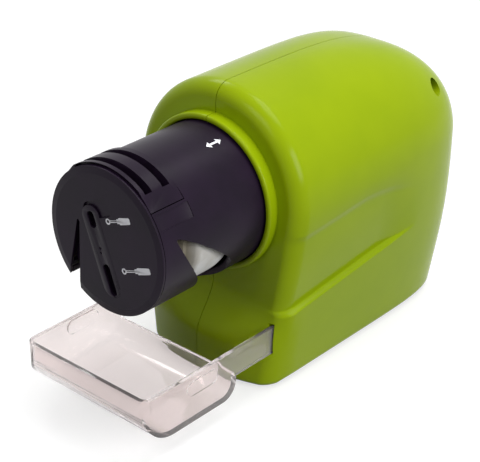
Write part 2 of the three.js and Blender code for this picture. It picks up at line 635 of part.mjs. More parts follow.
// Everything that is cut out of both shells
function shellCuts() {
  const underY = -BASE_DROP - OVERRUN;
  const headHole = rodY(COLLAR_INNER_RADIUS, -CHIN - OVERRUN, FACE_Y + 2 * WALL + OVERRUN, [0, 0], ROUND_SIDES);
  const bay = box([-BAY_HALF_WIDTH, BAY_FRONT_Y, underY], [BAY_HALF_WIDTH, BAY_REAR_Y, FLOOR_Z + OVERRUN]);
  const boxRoom = box([-BOX_HALF_WIDTH - GAP, BOX_FRONT_Y - GAP, FLOOR_Z],
    [BOX_HALF_WIDTH + GAP, BOX_REAR_Y + GAP, BOX_TOP_Z]);
  const doorRebate = box([-BAY_HALF_WIDTH - DOOR_MARGIN, BAY_FRONT_Y - DOOR_MARGIN, underY],
    [BAY_HALF_WIDTH + DOOR_MARGIN, BAY_REAR_Y + DOOR_MARGIN, -BASE_DROP + DOOR_PLATE + GAP]);
  const switchHole = box(
    [-SWITCH_HALF_WIDTH - GAP, BODY_REAR - 3 * WALL, SWITCH_Z - SWITCH_HALF_HEIGHT - GAP],
    [SWITCH_HALF_WIDTH + GAP, BODY_REAR + OVERRUN, SWITCH_Z + SWITCH_HALF_HEIGHT + GAP]);
  const screwBore = rodX(SCREW_RADIUS + GAP, SHELL_SCREW_END_X - GAP, BODY_HALF_WIDTH, SHELL_SCREW_AT);
  const screwRecess = rodX(
    SHELL_SCREW_RECESS, SHELL_SCREW_SEAT_X, BODY_HALF_WIDTH + OVERRUN, SHELL_SCREW_AT, DISC_SIDES);
  const baseBores = BASE_SCREWS.map(({ x, y }) => rodZ(SCREW_RADIUS + GAP, underY, FLOOR_Z + OVERRUN, [x, y]));
  const headSeatZ = -BASE_DROP + BASE_SCREW_HEAD_THICK + GAP;
  const baseSeats = BASE_SCREWS.map(({ x, y }) => rodZ(SCREW_HEAD_RADIUS + GAP, underY, headSeatZ, [x, y]));
  const footSeatZ = -BASE_DROP + FOOT_THICK - FOOT_PROUD + GAP;
  const footSeats = FEET.map((at) => rodZ(FOOT_RADIUS + GAP, underY, footSeatZ, at, DISC_SIDES));
  return [headHole, armSlot(1), armSlot(-1), bay, boxRoom, doorRebate, switchHole, screwBore, screwRecess,
    ...baseBores, ...baseSeats, ...footSeats];
}

function shellForm() {
  const skin = housingSurface(0, SKIN_LOW_SHARES, SKIN_GRIP_SHARES, SKIN_TILTS);
  const hollow = housingSurface(WALL, HOLLOW_LOW_SHARES, HOLLOW_GRIP_SHARES, HOLLOW_TILTS);
  const bossRadius = SCREW_RADIUS + GAP + BOSS_WALL;
  const boss = rodX(bossRadius, -BODY_HALF_WIDTH, BODY_HALF_WIDTH, SHELL_SCREW_AT, DISC_SIDES);
  const fittings = join([armRail(1), armRail(-1), flangeRibs(), boss]).intersect(skin);
  return cutOut(join([skin.subtract(hollow), fittings, collar()]), shellCuts());
}

function halfSpace(side) {
  const [from, to] = side > 0 ? [SEAM_GAP / 2, 2 * BODY_HALF_WIDTH] : [-2 * BODY_HALF_WIDTH, -SEAM_GAP / 2];
  return box([from, -BODY_REAR, -2 * BASE_DROP], [to, 2 * BODY_REAR, 2 * BODY_TOP]);
}

// Head

const SLEEVE_INNER_RADIUS = HEAD_RADIUS - SLEEVE_WALL;
const INSERT_OUTER_RADIUS = HEAD_RADIUS + INSERT_PROUD;
const INSERT_INNER_RADIUS = HEAD_RADIUS - INSERT_SINK;
const BRACKET_RADIUS = SLEEVE_INNER_RADIUS - RUN_GAP - CARRIER_WALL - RUN_GAP;
const SLEEVE_FRONT_Y = behindFront(RIM_THICK + GAP);
const INSERT_REAR_Y = SLEEVE_FRONT_Y + INSERT_LENGTH;
const RING_Y = CARRIER_Y - RUN_GAP - RING_THICK;
const inRadii = (points) => points.map(([a, b]) => [a * HEAD_RADIUS, b * HEAD_RADIUS]);
const GUIDE_CENTRE = GUIDE_CENTRE_SHARES.map((share) => share * HEAD_RADIUS);
const GUIDE_HALF_LENGTH = GUIDE_LENGTH_SHARE * HEAD_RADIUS;

// A point on the guide, at a distance along it from its centre
function guidePoint(along) {
  const tilt = radians(GUIDE_TILT);
  return [GUIDE_CENTRE[0] - along * Math.sin(tilt), GUIDE_CENTRE[1] + along * Math.cos(tilt)];
}

function guideSlots(extra, fromY, toY) {
  const halfWidth = GUIDE_SLOT_HALF_WIDTH + extra;
  return join(inRadii([GUIDE_UPPER_SHARES, GUIDE_LOWER_SHARES]).map(
    ([at, half]) => prismY(stadium(guidePoint(at), half + extra, halfWidth, GUIDE_TILT), fromY, toY)));
}

function notch(toY) {
  return prismY(inRadii(NOTCH_SHARES), HEAD_FRONT_Y - OVERRUN, toY);
}

function headSleeve() {
  const lipY = SLEEVE_REAR_Y - SLEEVE_LIP_LENGTH;
  const lipRadius = SLEEVE_INNER_RADIUS - SLEEVE_LIP;
  const grooveRadius = SLEEVE_INNER_RADIUS + RING_GROOVE;
  const [grooveFrontY, grooveRearY] = [RING_Y - GAP, RING_Y + RING_THICK + GAP];
  const tube = turned([[SLEEVE_INNER_RADIUS, SLEEVE_FRONT_Y], [HEAD_RADIUS, SLEEVE_FRONT_Y],
    [HEAD_RADIUS, SLEEVE_REAR_Y], [lipRadius, SLEEVE_REAR_Y], [lipRadius, lipY], [SLEEVE_INNER_RADIUS, lipY],
    [SLEEVE_INNER_RADIUS, grooveRearY], [grooveRadius, grooveRearY], [grooveRadius, grooveFrontY],
    [SLEEVE_INNER_RADIUS, grooveFrontY]], HEAD_SIDES);
  const windowPoints = WINDOW_SHARES.map(([angle, share]) => [angle, behindFront(share * HEAD_RADIUS)]);
  const window = radialPatch(windowPoints, SLEEVE_INNER_RADIUS - SLEEVE_WALL, 2 * HEAD_RADIUS);
  const roomAngle = INSERT_HALF_ANGLE + INSERT_PLAY_ANGLE;
  const insertRoom = sector(-roomAngle, roomAngle, SLEEVE_FRONT_Y - OVERRUN, INSERT_REAR_Y + GAP);
  return cutOut(tube, [insertRoom, window, notch(behindFront(NOTCH_DEPTH))]);
}

// Seen from the front, the knife guide is proud of the sleeve and level with it at both ends
function knifeGuide() {
  const endAngle = INSERT_HALF_ANGLE - INSERT_PLAY_ANGLE;
  const [rightEnd, leftEnd] = arcPoints([0, 0], HEAD_RADIUS, 90 - endAngle, 90 + endAngle, 1);
  const outer = arcPoints([0, 0], INSERT_OUTER_RADIUS, 90 - INSERT_FULL_ANGLE, 90 + INSERT_FULL_ANGLE, 14);
  const inner = arcPoints([0, 0], INSERT_INNER_RADIUS, 90 + endAngle, 90 - endAngle, 14);
  const arc = prismY([rightEnd, ...outer, leftEnd, ...inner], SLEEVE_FRONT_Y, INSERT_REAR_Y);
  const floorRadius = INSERT_OUTER_RADIUS - SLOT_DEPTH;
  const slots = [[SLOT_FRONT_AT, SLOT_FRONT_WIDTH], [SLOT_REAR_AT, SLOT_REAR_WIDTH]].map(([at, width]) => {
    const [fromY, toY] = [behindFront(at), behindFront(at + width)];
    return sector(SLOT_LEFT_ANGLE, SLOT_RIGHT_ANGLE, fromY, toY)
      .subtract(rodY(floorRadius, fromY - OVERRUN, toY + OVERRUN, [0, 0], HEAD_SIDES))
      .add(sector(-SLOT_OPEN_HALF_ANGLE, SLOT_OPEN_HALF_ANGLE, fromY, toY));
  });
  return cutOut(arc, slots);
}

function frontDisc() {
  const [rimY, backY] = [behindFront(RIM_THICK), behindFront(DISC_THICK)];
  const middleRadius = INSERT_INNER_RADIUS - GAP;
  const plate = turned([[0, HEAD_FRONT_Y], [HEAD_RADIUS - RIM_BEVEL_WIDTH, HEAD_FRONT_Y],
    [HEAD_RADIUS, HEAD_FRONT_Y + RIM_BEVEL_DROP], [HEAD_RADIUS, rimY], [middleRadius, rimY],
    [middleRadius, backY], [0, backY]], HEAD_SIDES);
  const spigotRadius = SLEEVE_INNER_RADIUS - GAP;
  const clearAngle = INSERT_HALF_ANGLE + SPIGOT_CLEAR_ANGLE;
  const spigot = ring(spigotRadius - SPIGOT_WALL, spigotRadius, rimY, rimY + SPIGOT_LENGTH)
    .subtract(sector(-clearAngle, clearAngle, HEAD_FRONT_Y, 0));
  const guideSeat = prismY(
    stadium(GUIDE_CENTRE, GUIDE_HALF_LENGTH + GAP, GUIDE_HALF_WIDTH + GAP, GUIDE_TILT),
    HEAD_FRONT_Y - OVERRUN, behindFront(DISC_THICK / 2));
  return cutOut(plate.add(spigot), [guideSeat, guideSlots(GAP, HEAD_FRONT_Y - OVERRUN, backY + OVERRUN),
    notch(rimY + SPIGOT_LENGTH + OVERRUN)]);
}

function screwdriverGuide() {
  const [frontY, backY] = [HEAD_FRONT_Y - GUIDE_PROUD, behindFront(DISC_THICK / 2 - GAP)];
  return prismY(stadium(GUIDE_CENTRE, GUIDE_HALF_LENGTH, GUIDE_HALF_WIDTH, GUIDE_TILT), frontY, backY)
    .subtract(guideSlots(0, frontY - OVERRUN, backY + OVERRUN))
    .subtract(rodY(GUIDE_PIN_RADIUS, frontY - OVERRUN, frontY + GUIDE_PROUD, guidePoint(0), HOLE_SIDES));
}

function chipBaffle() {
  const fromY = behindFront(DISC_THICK + GAP);
  const [cutFromY, cutToY] = [fromY - OVERRUN, fromY + OVERRUN];
  const plate = rodY(INSERT_INNER_RADIUS - GAP, fromY, fromY + BAFFLE_THICK, [0, 0], ROUND_SIDES);
  const notchRoom = prismY(inRadii(BAFFLE_NOTCH_SHARES), cutFromY, cutToY);
  return cutOut(plate, [guideSlots(GAP, cutFromY, cutToY), notchRoom]);
}

// Drive

const NUT_Y = behindFront(WHEEL_FRONT + NUT_POCKET_DEPTH - GAP - NUT_THICK);
const HUB_FRONT_Y = behindFront(WHEEL_FRONT + NUT_POCKET_DEPTH + GAP);
const HUB_FLANGE_Y = behindFront(WHEEL_REAR) + GAP;
const SHAFT_BORE = SHAFT_RADIUS + GAP;
const MOTOR_Y = BRACKET_FRONT_Y + BRACKET_PLATE + GAP;
const MOTOR_REAR_Y = MOTOR_Y + MOTOR_LENGTH;
const CAP_Y = MOTOR_REAR_Y + GAP;
const CAP_REAR_Y = CAP_Y + MOTOR_CAP_LENGTH;
const WHEEL_RADIUS = SLEEVE_INNER_RADIUS - WHEEL_SLEEVE_GAP;
const RIDGE_RADIUS = INSERT_INNER_RADIUS - RIDGE_INSERT_GAP;

function grindingWheel() {
  const pocketAt = WHEEL_FRONT + NUT_POCKET_DEPTH;
  const valleyRadius = RIDGE_RADIUS - VALLEY_DROP;
  const profile = [[WHEEL_BORE, pocketAt], [NUT_POCKET_RADIUS, pocketAt], [NUT_POCKET_RADIUS, WHEEL_FRONT],
    [RIDGE_RADIUS - FLANK_DROP, WHEEL_FRONT], [RIDGE_RADIUS, RIDGE_FRONT], [RIDGE_RADIUS, RIDGE_REAR],
    [valleyRadius, VALLEY_AT], [valleyRadius, VALLEY_AT + VALLEY_LENGTH], [RIDGE_RADIUS, SHOULDER_AT],
    [RIDGE_RADIUS, DRUM_FROM - WHEEL_CHAMFER / 2], [WHEEL_RADIUS, DRUM_FROM],
    [WHEEL_RADIUS, WHEEL_REAR - WHEEL_REAR_ROUND], [WHEEL_RADIUS - WHEEL_CHAMFER, WHEEL_REAR],
    [WHEEL_BORE, WHEEL_REAR]];
  return turned(profile.map(([radius, distance]) => [radius, behindFront(distance)]));
}

function wheelHub() {
  const radius = SHAFT_BORE + HUB_WALL;
  const rearY = HUB_FLANGE_Y + HUB_FLANGE_THICK;
  return turned([[SHAFT_BORE, HUB_FRONT_Y], [radius, HUB_FRONT_Y], [radius, HUB_FLANGE_Y],
    [HUB_FLANGE_RADIUS, HUB_FLANGE_Y], [HUB_FLANGE_RADIUS, rearY], [SHAFT_BORE, rearY]], DISC_SIDES);
}

function wheelNut() {
  return rodY(NUT_RADIUS, NUT_Y, NUT_Y + NUT_THICK, [0, 0], 6)
    .subtract(rodY(SHAFT_BORE, NUT_Y - OVERRUN, NUT_Y + OVERRUN));
}

// Holes or screws for the motor's two fixing points
function atMotorScrews(radius, fromY, toY) {
  return [-1, 1].map((side) => rodY(radius, fromY, toY, [side * MOTOR_SCREW_AT, 0], HOLE_SIDES));
}

function motorBody() {
  const can = turned([[SHAFT_BORE, BRACKET_FRONT_Y], [MOTOR_BOSS_RADIUS, BRACKET_FRONT_Y],
    [MOTOR_BOSS_RADIUS, MOTOR_Y], [MOTOR_RADIUS, MOTOR_Y], [MOTOR_RADIUS, MOTOR_REAR_Y],
    [SHAFT_BORE, MOTOR_REAR_Y]], CAN_SIDES);
  return cutOut(can, atMotorScrews(SCREW_RADIUS + GAP, MOTOR_Y - OVERRUN, MOTOR_Y + MOTOR_SCREW_BITE + GAP));
}

function motorCap() {
  const cap = ring(SHAFT_BORE, MOTOR_RADIUS - GAP, CAP_Y, CAP_REAR_Y, CAN_SIDES);
  const tabs = [-1, 1].map((side) => box(
    [side * TERMINAL_AT - TERMINAL_SIZE / 2, CAP_Y + MOTOR_CAP_LENGTH / 2, -TERMINAL_THICK / 2],
    [side * TERMINAL_AT + TERMINAL_SIZE / 2, CAP_REAR_Y + 2 * TERMINAL_SIZE, TERMINAL_THICK / 2]));
  return join([cap, ...tabs]);
}

// Two keys along the bracket's cup, which hold the index carrier against turning
function bracketKeys(extra, fromY, toY) {
  const halfWidth = KEY_WIDTH / 2 + extra;
  const reach = BRACKET_RADIUS + KEY_HEIGHT + extra;
  return box([-reach, fromY, -halfWidth], [reach, toY, halfWidth]);
}

function motorBracket() {
  const plateRearY = BRACKET_FRONT_Y + BRACKET_PLATE;
  const flangeRearY = FLANGE_Y + FLANGE_THICK;
  const inner = BRACKET_RADIUS - BRACKET_WALL;
  const bore = MOTOR_BOSS_RADIUS + GAP;
  const cup = turned([[bore, BRACKET_FRONT_Y], [BRACKET_RADIUS, BRACKET_FRONT_Y], [BRACKET_RADIUS, FLANGE_Y],
    [FLANGE_RADIUS, FLANGE_Y], [FLANGE_RADIUS, flangeRearY], [inner, flangeRearY], [inner, plateRearY],
    [bore, plateRearY]]);
  const core = rodY(
    BRACKET_RADIUS - BRACKET_WALL / 2, BRACKET_FRONT_Y - OVERRUN, FLANGE_Y + OVERRUN, [0, 0], ROUND_SIDES);
  const keys = bracketKeys(0, BRACKET_FRONT_Y, FLANGE_Y).subtract(core);
  const bores = atMotorScrews(SCREW_RADIUS + GAP, BRACKET_FRONT_Y - OVERRUN, plateRearY + OVERRUN);
  return cutOut(cup.add(keys), bores);
}

function indexCarrier() {
  const toY = CARRIER_Y + CARRIER_LENGTH;
  return ring(BRACKET_RADIUS + RUN_GAP, SLEEVE_INNER_RADIUS - RUN_GAP, CARRIER_Y, toY)
    .subtract(bracketKeys(RUN_GAP, CARRIER_Y - OVERRUN, toY + OVERRUN));
}

function retainingRing() {
  const outer = SLEEVE_INNER_RADIUS + RING_GROOVE - GAP;
  return ring(outer - RING_WIDTH, outer, RING_Y, RING_Y + RING_THICK);
}

function motorScrew(side) {
  const [headY, at] = [BRACKET_FRONT_Y - GAP - SCREW_HEAD_THICK, [side * MOTOR_SCREW_AT, 0]];
  return rodY(SCREW_HEAD_RADIUS, headY, headY + SCREW_HEAD_THICK, at)
    .add(rodY(SCREW_RADIUS, headY, MOTOR_Y + MOTOR_SCREW_BITE, at, HOLE_SIDES));
}

// Chip tray

// Side outline of the tray in y and z, drawn in by a wall thickness
function trayOutline(inset, top) {
  const [front, rear, floor] = [TRAY_FRONT_Y + inset, TRAY_REAR_Y - inset, TRAY_FLOOR_Z + inset];
  const [frontRadius, rearRadius] = [TRAY_FRONT_RADIUS - inset, TRAY_REAR_RADIUS - inset];
  return [[front, top], ...arcPoints([front + frontRadius, floor + frontRadius], frontRadius, 180, 270, 8),
    ...arcPoints([rear - rearRadius, floor + rearRadius], rearRadius, 270, 360, 5), [rear, top]];
}

function trayPlan(inset) {
  const [x, front] = [TRAY_HALF_WIDTH - inset, TRAY_FRONT_Y + inset];
  const radius = TRAY_CORNER - inset;
  return [...arcPoints([-x + radius, front + radius], radius, 180, 270, 5),
    ...arcPoints([x - radius, front + radius], radius, 270, 360, 5), [x, 0], [-x, 0]];
}

function trayArm(side) {
  const piece = (nearX, fromY) => {
    const [fromX, toX] = side > 0 ? [nearX, TRAY_HALF_WIDTH] : [-TRAY_HALF_WIDTH, -nearX];
    return box([fromX, fromY, ARM_BOTTOM_Z], [toX, ARM_END_Y, TRAY_TOP_Z]);
  };
  return piece(ARM_INNER_X, TRAY_REAR_Y - TRAY_REAR_RADIUS)
    .add(piece(ARM_INNER_X - ARM_HOOK, ARM_END_Y - ARM_HOOK_LENGTH));
}

function chipTray() {
  const reach = TRAY_HALF_WIDTH + OVERRUN;
  const outer = prismX(trayOutline(0, TRAY_TOP_Z), -reach, reach)
    .intersect(prismZ(trayPlan(0), TRAY_FLOOR_Z - OVERRUN, TRAY_TOP_Z));
  const inner = prismX(trayOutline(TRAY_WALL, TRAY_TOP_Z + OVERRUN), -reach, reach)
    .intersect(prismZ(trayPlan(TRAY_WALL), TRAY_FLOOR_Z - OVERRUN, TRAY_TOP_Z + 2 * OVERRUN));
  const rearDrop = box([-ARM_INNER_X, TRAY_REAR_Y - TRAY_WALL - OVERRUN, TRAY_TOP_Z - TRAY_REAR_DROP],
    [ARM_INNER_X, TRAY_REAR_Y + OVERRUN, TRAY_TOP_Z + OVERRUN]);
  const padAt = [TRAY_PAD_AT_Y, TRAY_TOP_Z - TRAY_PAD_DROP];
  const padOutline = stadium(padAt, TRAY_PAD_HALF_LENGTH, TRAY_PAD_HALF_HEIGHT, 90);
  const padReach = TRAY_HALF_WIDTH + TRAY_PAD_PROUD;
  const pads = prismX(padOutline, -padReach, padReach);
  const shell = outer.subtract(rearDrop).add(pads).subtract(inner);
  return join([shell, trayArm(1), trayArm(-1)]);
}

// Power

function cellPlaces() {
  return Array.from({ length: CELL_COUNT }, (unused, i) => ({
    y: BOX_FRONT_Y + BOX_WALL + GAP + CELL_PITCH * (i + 0.5), side: i % 2 === 0 ? 1 : -1,
  }));
}

function cell({ y, side }) {
  const body = rodX(CELL_RADIUS, -CELL_HALF_LENGTH, CELL_HALF_LENGTH, [y, CELL_Z]);
  const [near, far] = [CELL_HALF_LENGTH - CELL_NUB, CELL_HALF_LENGTH + CELL_NUB];
  const [fromX, toX] = side > 0 ? [near, far] : [-far, -near];
  return body.add(rodX(CELL_NUB_RADIUS, fromX, toX, [y, CELL_Z], HOLE_SIDES));
}

function batteryBox() {
  const outer = box([-BOX_HALF_WIDTH, BOX_FRONT_Y, EAR_Z], [BOX_HALF_WIDTH, BOX_REAR_Y, BOX_TOP_Z]);
  const inner = box([-BOX_HALF_WIDTH + BOX_WALL, BOX_FRONT_Y + BOX_WALL, EAR_Z - OVERRUN],
    [BOX_HALF_WIDTH - BOX_WALL, BOX_REAR_Y - BOX_WALL, BOX_TOP_Z - BOX_TOP_WALL]);
  const half = EAR_SIZE / 2;
  const ears = BASE_SCREWS.map(({ x, y, root }) => box([x - half, y - half + Math.min(root, 0), EAR_Z],
    [x + half, y + half + Math.max(root, 0), EAR_Z + EAR_HEIGHT]));
  const holes = BASE_SCREWS.map(({ x, y }) => rodZ(
    SCREW_RADIUS + GAP, EAR_Z - OVERRUN, EAR_Z + EAR_HEIGHT - GAP, [x, y], HOLE_SIDES));
  return cutOut(join([outer, ...ears]), [inner, ...holes]);
}

// A contact plate on one side of the box, over one or two cells, with a spring cone at each flat end
function contact(side, cells) {
  const wallX = BOX_HALF_WIDTH - BOX_WALL - GAP;
  const [nearX, farX] = [wallX - CONTACT_THICK, wallX];
  const span = (from, to) => (side > 0 ? [from, to] : [-to, -from]);
  const [fromX, toX] = span(nearX, farX);
  const [fromY, toY] = [cells[0].y - CELL_RADIUS / 2, cells[cells.length - 1].y + CELL_RADIUS / 2];
  const plate = box([fromX, fromY, CELL_Z - CONTACT_HALF_HEIGHT], [toX, toY, CELL_Z + CONTACT_HALF_HEIGHT]);
  const tipX = CELL_HALF_LENGTH + GAP;
  const springs = cells.filter((place) => place.side !== side).map((place) => {
    const radii = side > 0 ? [SPRING_BASE_RADIUS, SPRING_TIP_RADIUS] : [SPRING_TIP_RADIUS, SPRING_BASE_RADIUS];
    const cone = new THREE.CylinderGeometry(...radii, nearX - tipX + CONTACT_THICK / 2, HOLE_SIDES);
    cone.rotateZ(-Math.PI / 2);
    cone.translate((side * (tipX + nearX + CONTACT_THICK / 2)) / 2, place.y, CELL_Z);
    return solid(cone);
  });
  return join([plate, ...springs]);
}

function batteryDoor() {
  const overlap = DOOR_MARGIN - RUN_GAP;
  const [halfWidth, front, rear] = [BAY_HALF_WIDTH + overlap, BAY_FRONT_Y - overlap, BAY_REAR_Y + overlap];
  const plate = box([-halfWidth, front, -BASE_DROP], [halfWidth, rear, -BASE_DROP + DOOR_PLATE]);
  const ribHalfWidth = BAY_HALF_WIDTH - RUN_GAP;
  const [ribFront, ribRear] = [BAY_FRONT_Y + RUN_GAP, BAY_REAR_Y - RUN_GAP];
  const frame = box([-ribHalfWidth, ribFront, -BASE_DROP], [ribHalfWidth, ribRear, FLOOR_Z - RUN_GAP])
    .subtract(box([-ribHalfWidth + DOOR_RIB, ribFront + DOOR_RIB, -BASE_DROP + DOOR_PLATE],
      [ribHalfWidth - DOOR_RIB, ribRear - DOOR_RIB, FLOOR_Z + OVERRUN]));
  const fingerNotch = box([-LATCH_HALF_WIDTH, front - OVERRUN, -BASE_DROP - OVERRUN],
    [LATCH_HALF_WIDTH, front + LATCH_DEPTH, -BASE_DROP + DOOR_PLATE / 2]);
  return plate.add(frame).subtract(fingerNotch);
}

function foot(at) {
  return rodZ(FOOT_RADIUS, -BASE_DROP - FOOT_PROUD, -BASE_DROP + FOOT_THICK - FOOT_PROUD, at, DISC_SIDES);
}

function baseScrew({ x, y }) {
  const headZ = -BASE_DROP;
  return rodZ(SCREW_HEAD_RADIUS, headZ, headZ + BASE_SCREW_HEAD_THICK, [x, y])
    .add(rodZ(SCREW_RADIUS, headZ, EAR_Z + EAR_HEIGHT - 2 * GAP, [x, y], HOLE_SIDES));
}

function shellScrew() {
  const headX = SHELL_SCREW_SEAT_X + GAP;
  return rodX(SCREW_HEAD_RADIUS, headX, headX + SCREW_HEAD_THICK, SHELL_SCREW_AT)
    .add(rodX(SCREW_RADIUS, SHELL_SCREW_END_X, headX + SCREW_HEAD_THICK / 2, SHELL_SCREW_AT, HOLE_SIDES));
}

// Switch

const PIVOT_Y = BEZEL_BACK_Y - ROCKER_PIVOT_DEPTH;

function switchBody() {
  const rearY = BEZEL_BACK_Y + BEZEL_THICK;
  const slab = (halfWidth, halfHeight, fromY, toY) => box([-halfWidth, fromY, SWITCH_Z - halfHeight],
    [halfWidth, toY, SWITCH_Z + halfHeight]);
  const body = slab(SWITCH_HALF_WIDTH, SWITCH_HALF_HEIGHT, BEZEL_BACK_Y - SWITCH_DEPTH, rearY);
  const bezel = slab(SWITCH_HALF_WIDTH + BEZEL_LIP, SWITCH_HALF_HEIGHT + BEZEL_LIP, BEZEL_BACK_Y + GAP, rearY);
  const pocket = slab(ROCKER_HALF_WIDTH + RUN_GAP, ROCKER_HALF_HEIGHT + 2 * RUN_GAP,
    BEZEL_BACK_Y - POCKET_DEPTH, BEZEL_BACK_Y + OVERRUN);
  return body.add(bezel).subtract(pocket);
}

// The rocker's outline in y and z about its pivot: a dished face and a rounded back
function switchRocker() {
  const h = ROCKER_HALF_HEIGHT;
  const outline = [[ROCKER_REACH, h], [ROCKER_REACH - ROCKER_DISH, 0], [ROCKER_REACH, -h],
    [0, -h * ROCKER_WAIST_SHARE], [-ROCKER_BACK, -h / 3], [-ROCKER_BACK, h / 3], [0, h * ROCKER_WAIST_SHARE]];
  return prismX(outline, -ROCKER_HALF_WIDTH, ROCKER_HALF_WIDTH);
}

// Leads: tubes along hand-laid routes from terminal to terminal
function lead(points) {
  const path = new THREE.CatmullRomCurve3(points.map((point) => new THREE.Vector3(...point)));
  const section = shapeOf(arcPoints([0, 0], LEAD_RADIUS, 0, 360, LEAD_SIDES).slice(0, -1));
  return solid(new THREE.ExtrudeGeometry(section, { steps: LEAD_STEPS, extrudePath: path }));
}

const BOX_LEAD_Z = BOX_TOP_Z + GAP;
const SWITCH_LEAD_Y = BEZEL_BACK_Y - SWITCH_DEPTH - 2 * GAP;
const MOTOR_LEAD_Y = CAP_REAR_Y + 2 * TERMINAL_SIZE + GAP;
const MID_Y = (MOTOR_LEAD_Y + SWITCH_LEAD_Y) / 2;
const BOX_LEAD_X = BOX_HALF_WIDTH / 2;
const SWITCH_LEAD_X = SWITCH_HALF_WIDTH / 3;

function leadBatteryToSwitch() {
  return lead([[BOX_LEAD_X, MID_Y - CELL_PITCH, BOX_LEAD_Z],
    [BOX_LEAD_X, MID_Y - CELL_PITCH / 2, BOX_LEAD_Z + CELL_PITCH],
    [SWITCH_LEAD_X * 2, MID_Y + CELL_PITCH, SWITCH_Z - CELL_PITCH / 2],
    [SWITCH_LEAD_X, SWITCH_LEAD_Y, SWITCH_Z]]);
}

function leadSwitchToMotor() {
  return lead([[-SWITCH_LEAD_X, SWITCH_LEAD_Y, SWITCH_Z],
    [-SWITCH_LEAD_X, MID_Y + CELL_PITCH, SWITCH_Z + CELL_PITCH / 3],
    [TERMINAL_AT, MID_Y - CELL_PITCH / 2, 0],
    [TERMINAL_AT, MOTOR_LEAD_Y, 0]]);
}

function leadBatteryToMotor() {
  return lead([[-BOX_LEAD_X, MID_Y - CELL_PITCH, BOX_LEAD_Z],
    [-BOX_LEAD_X, MID_Y - CELL_PITCH, SWITCH_Z - CELL_PITCH],
    [-TERMINAL_AT, MID_Y - CELL_PITCH / 2, -CELL_PITCH / 4],
    [-TERMINAL_AT, MOTOR_LEAD_Y, 0]]);
}

// Materials

function finish(color, roughness, metalness = 0) {
  return new THREE.MeshStandardMaterial({ color, roughness, metalness });
}
const GREEN_PLASTIC = () => finish('#8fae1b', 0.3);
const BLACK_PLASTIC = () => finish('#2b2630', 0.38);
const CLEAR_PLASTIC = () => finish('#eadfe2', 0.1);
const STONE = () => finish('#c6c7c6', 0.85);
const STEEL = () => finish('#b9bbbe', 0.35, 1);
const BRASS = () => finish('#c8a35a', 0.35, 1);
const RUBBER = () => finish('#1d1d1f', 0.9);
const GREY_PLASTIC = () => finish('#4a4a4e', 0.6);

// Assembly

const assembly = new THREE.Group();
const tilt = radians(ROCKER_TILT);
const REAR_END_Y = PIVOT_Y + ROCKER_REACH * Math.cos(tilt) + ROCKER_HALF_HEIGHT * Math.sin(tilt);
assembly.position.set(0, -(TRAY_FRONT_Y + REAR_END_Y) / 2, AXIS_HEIGHT);

// A manifold as a named mesh in the group
function add(name, form, material) {
  const { vertProperties, triVerts } = form.getMesh();
  const geometry = new THREE.BufferGeometry();
  geometry.setAttribute('position', new THREE.BufferAttribute(vertProperties, 3));
  geometry.setIndex(new THREE.BufferAttribute(triVerts, 1));
  geometry.computeVertexNormals();
  const mesh = new THREE.Mesh(geometry, material);
  mesh.name = name;
  assembly.add(mesh);
  return mesh;
}

const shells = shellForm();
add('right_shell', shells.intersect(halfSpace(1)), GREEN_PLASTIC());
add('left_shell', shells.intersect(halfSpace(-1)), GREEN_PLASTIC());

add('head_sleeve', headSleeve(), BLACK_PLASTIC());
add('front_disc', frontDisc(), BLACK_PLASTIC());
add('knife_guide', knifeGuide(), BLACK_PLASTIC());
add('screwdriver_guide', screwdriverGuide(), BLACK_PLASTIC());
add('chip_baffle', chipBaffle(), BLACK_PLASTIC());
add('retaining_ring', retainingRing(), STEEL());
add('index_carrier', indexCarrier(), GREY_PLASTIC());

add('grinding_wheel', grindingWheel(), STONE());
add('wheel_hub', wheelHub(), BRASS());
add('wheel_nut', wheelNut(), STEEL());
add('motor_shaft', rodY(SHAFT_RADIUS, NUT_Y + GAP, CAP_REAR_Y + GAP), STEEL());
add('motor_body', motorBody(), STEEL());
add('motor_end_cap', motorCap(), GREY_PLASTIC());
add('motor_bracket', motorBracket(), GREY_PLASTIC());
add('motor_screw_left', motorScrew(-1), STEEL());
add('motor_screw_right', motorScrew(1), STEEL());

add('chip_tray', chipTray(), CLEAR_PLASTIC());

add('battery_box', batteryBox(), BLACK_PLASTIC());
const cells = cellPlaces();
cells.forEach((place, i) => add(`battery_cell_${i + 1}`, cell(place), finish('#c9a227', 0.4)));
add('contact_left_front', contact(-1, cells.slice(0, 2)), STEEL());
add('contact_left_rear', contact(-1, cells.slice(2, 4)), STEEL());
add('contact_right_front', contact(1, cells.slice(0, 1)), STEEL());
add('contact_right_middle', contact(1, cells.slice(1, 3)), STEEL());
add('contact_right_rear', contact(1, cells.slice(3, 4)), STEEL());
add('battery_door', batteryDoor(), GREEN_PLASTIC());
BASE_SCREWS.forEach((place) => add(place.name, baseScrew(place), STEEL()));
add('shell_screw_rear', shellScrew(), STEEL());
['front_left', 'front_right', 'rear_left', 'rear_right'].forEach((name, i) => {
  add(`foot_${name}`, foot(FEET[i]), RUBBER());
});

add('switch_body', switchBody(), BLACK_PLASTIC());
const rocker = add('switch_rocker', switchRocker(), BLACK_PLASTIC());
rocker.position.set(0, PIVOT_Y, SWITCH_Z);
rocker.rotation.x = -tilt;

add('lead_battery_to_switch', leadBatteryToSwitch(), finish('#b3251f', 0.5));
add('lead_switch_to_motor', leadSwitchToMotor(), finish('#b3251f', 0.5));
add('lead_battery_to_motor', leadBatteryToMotor(), finish('#17171a', 0.5));

export default assembly;
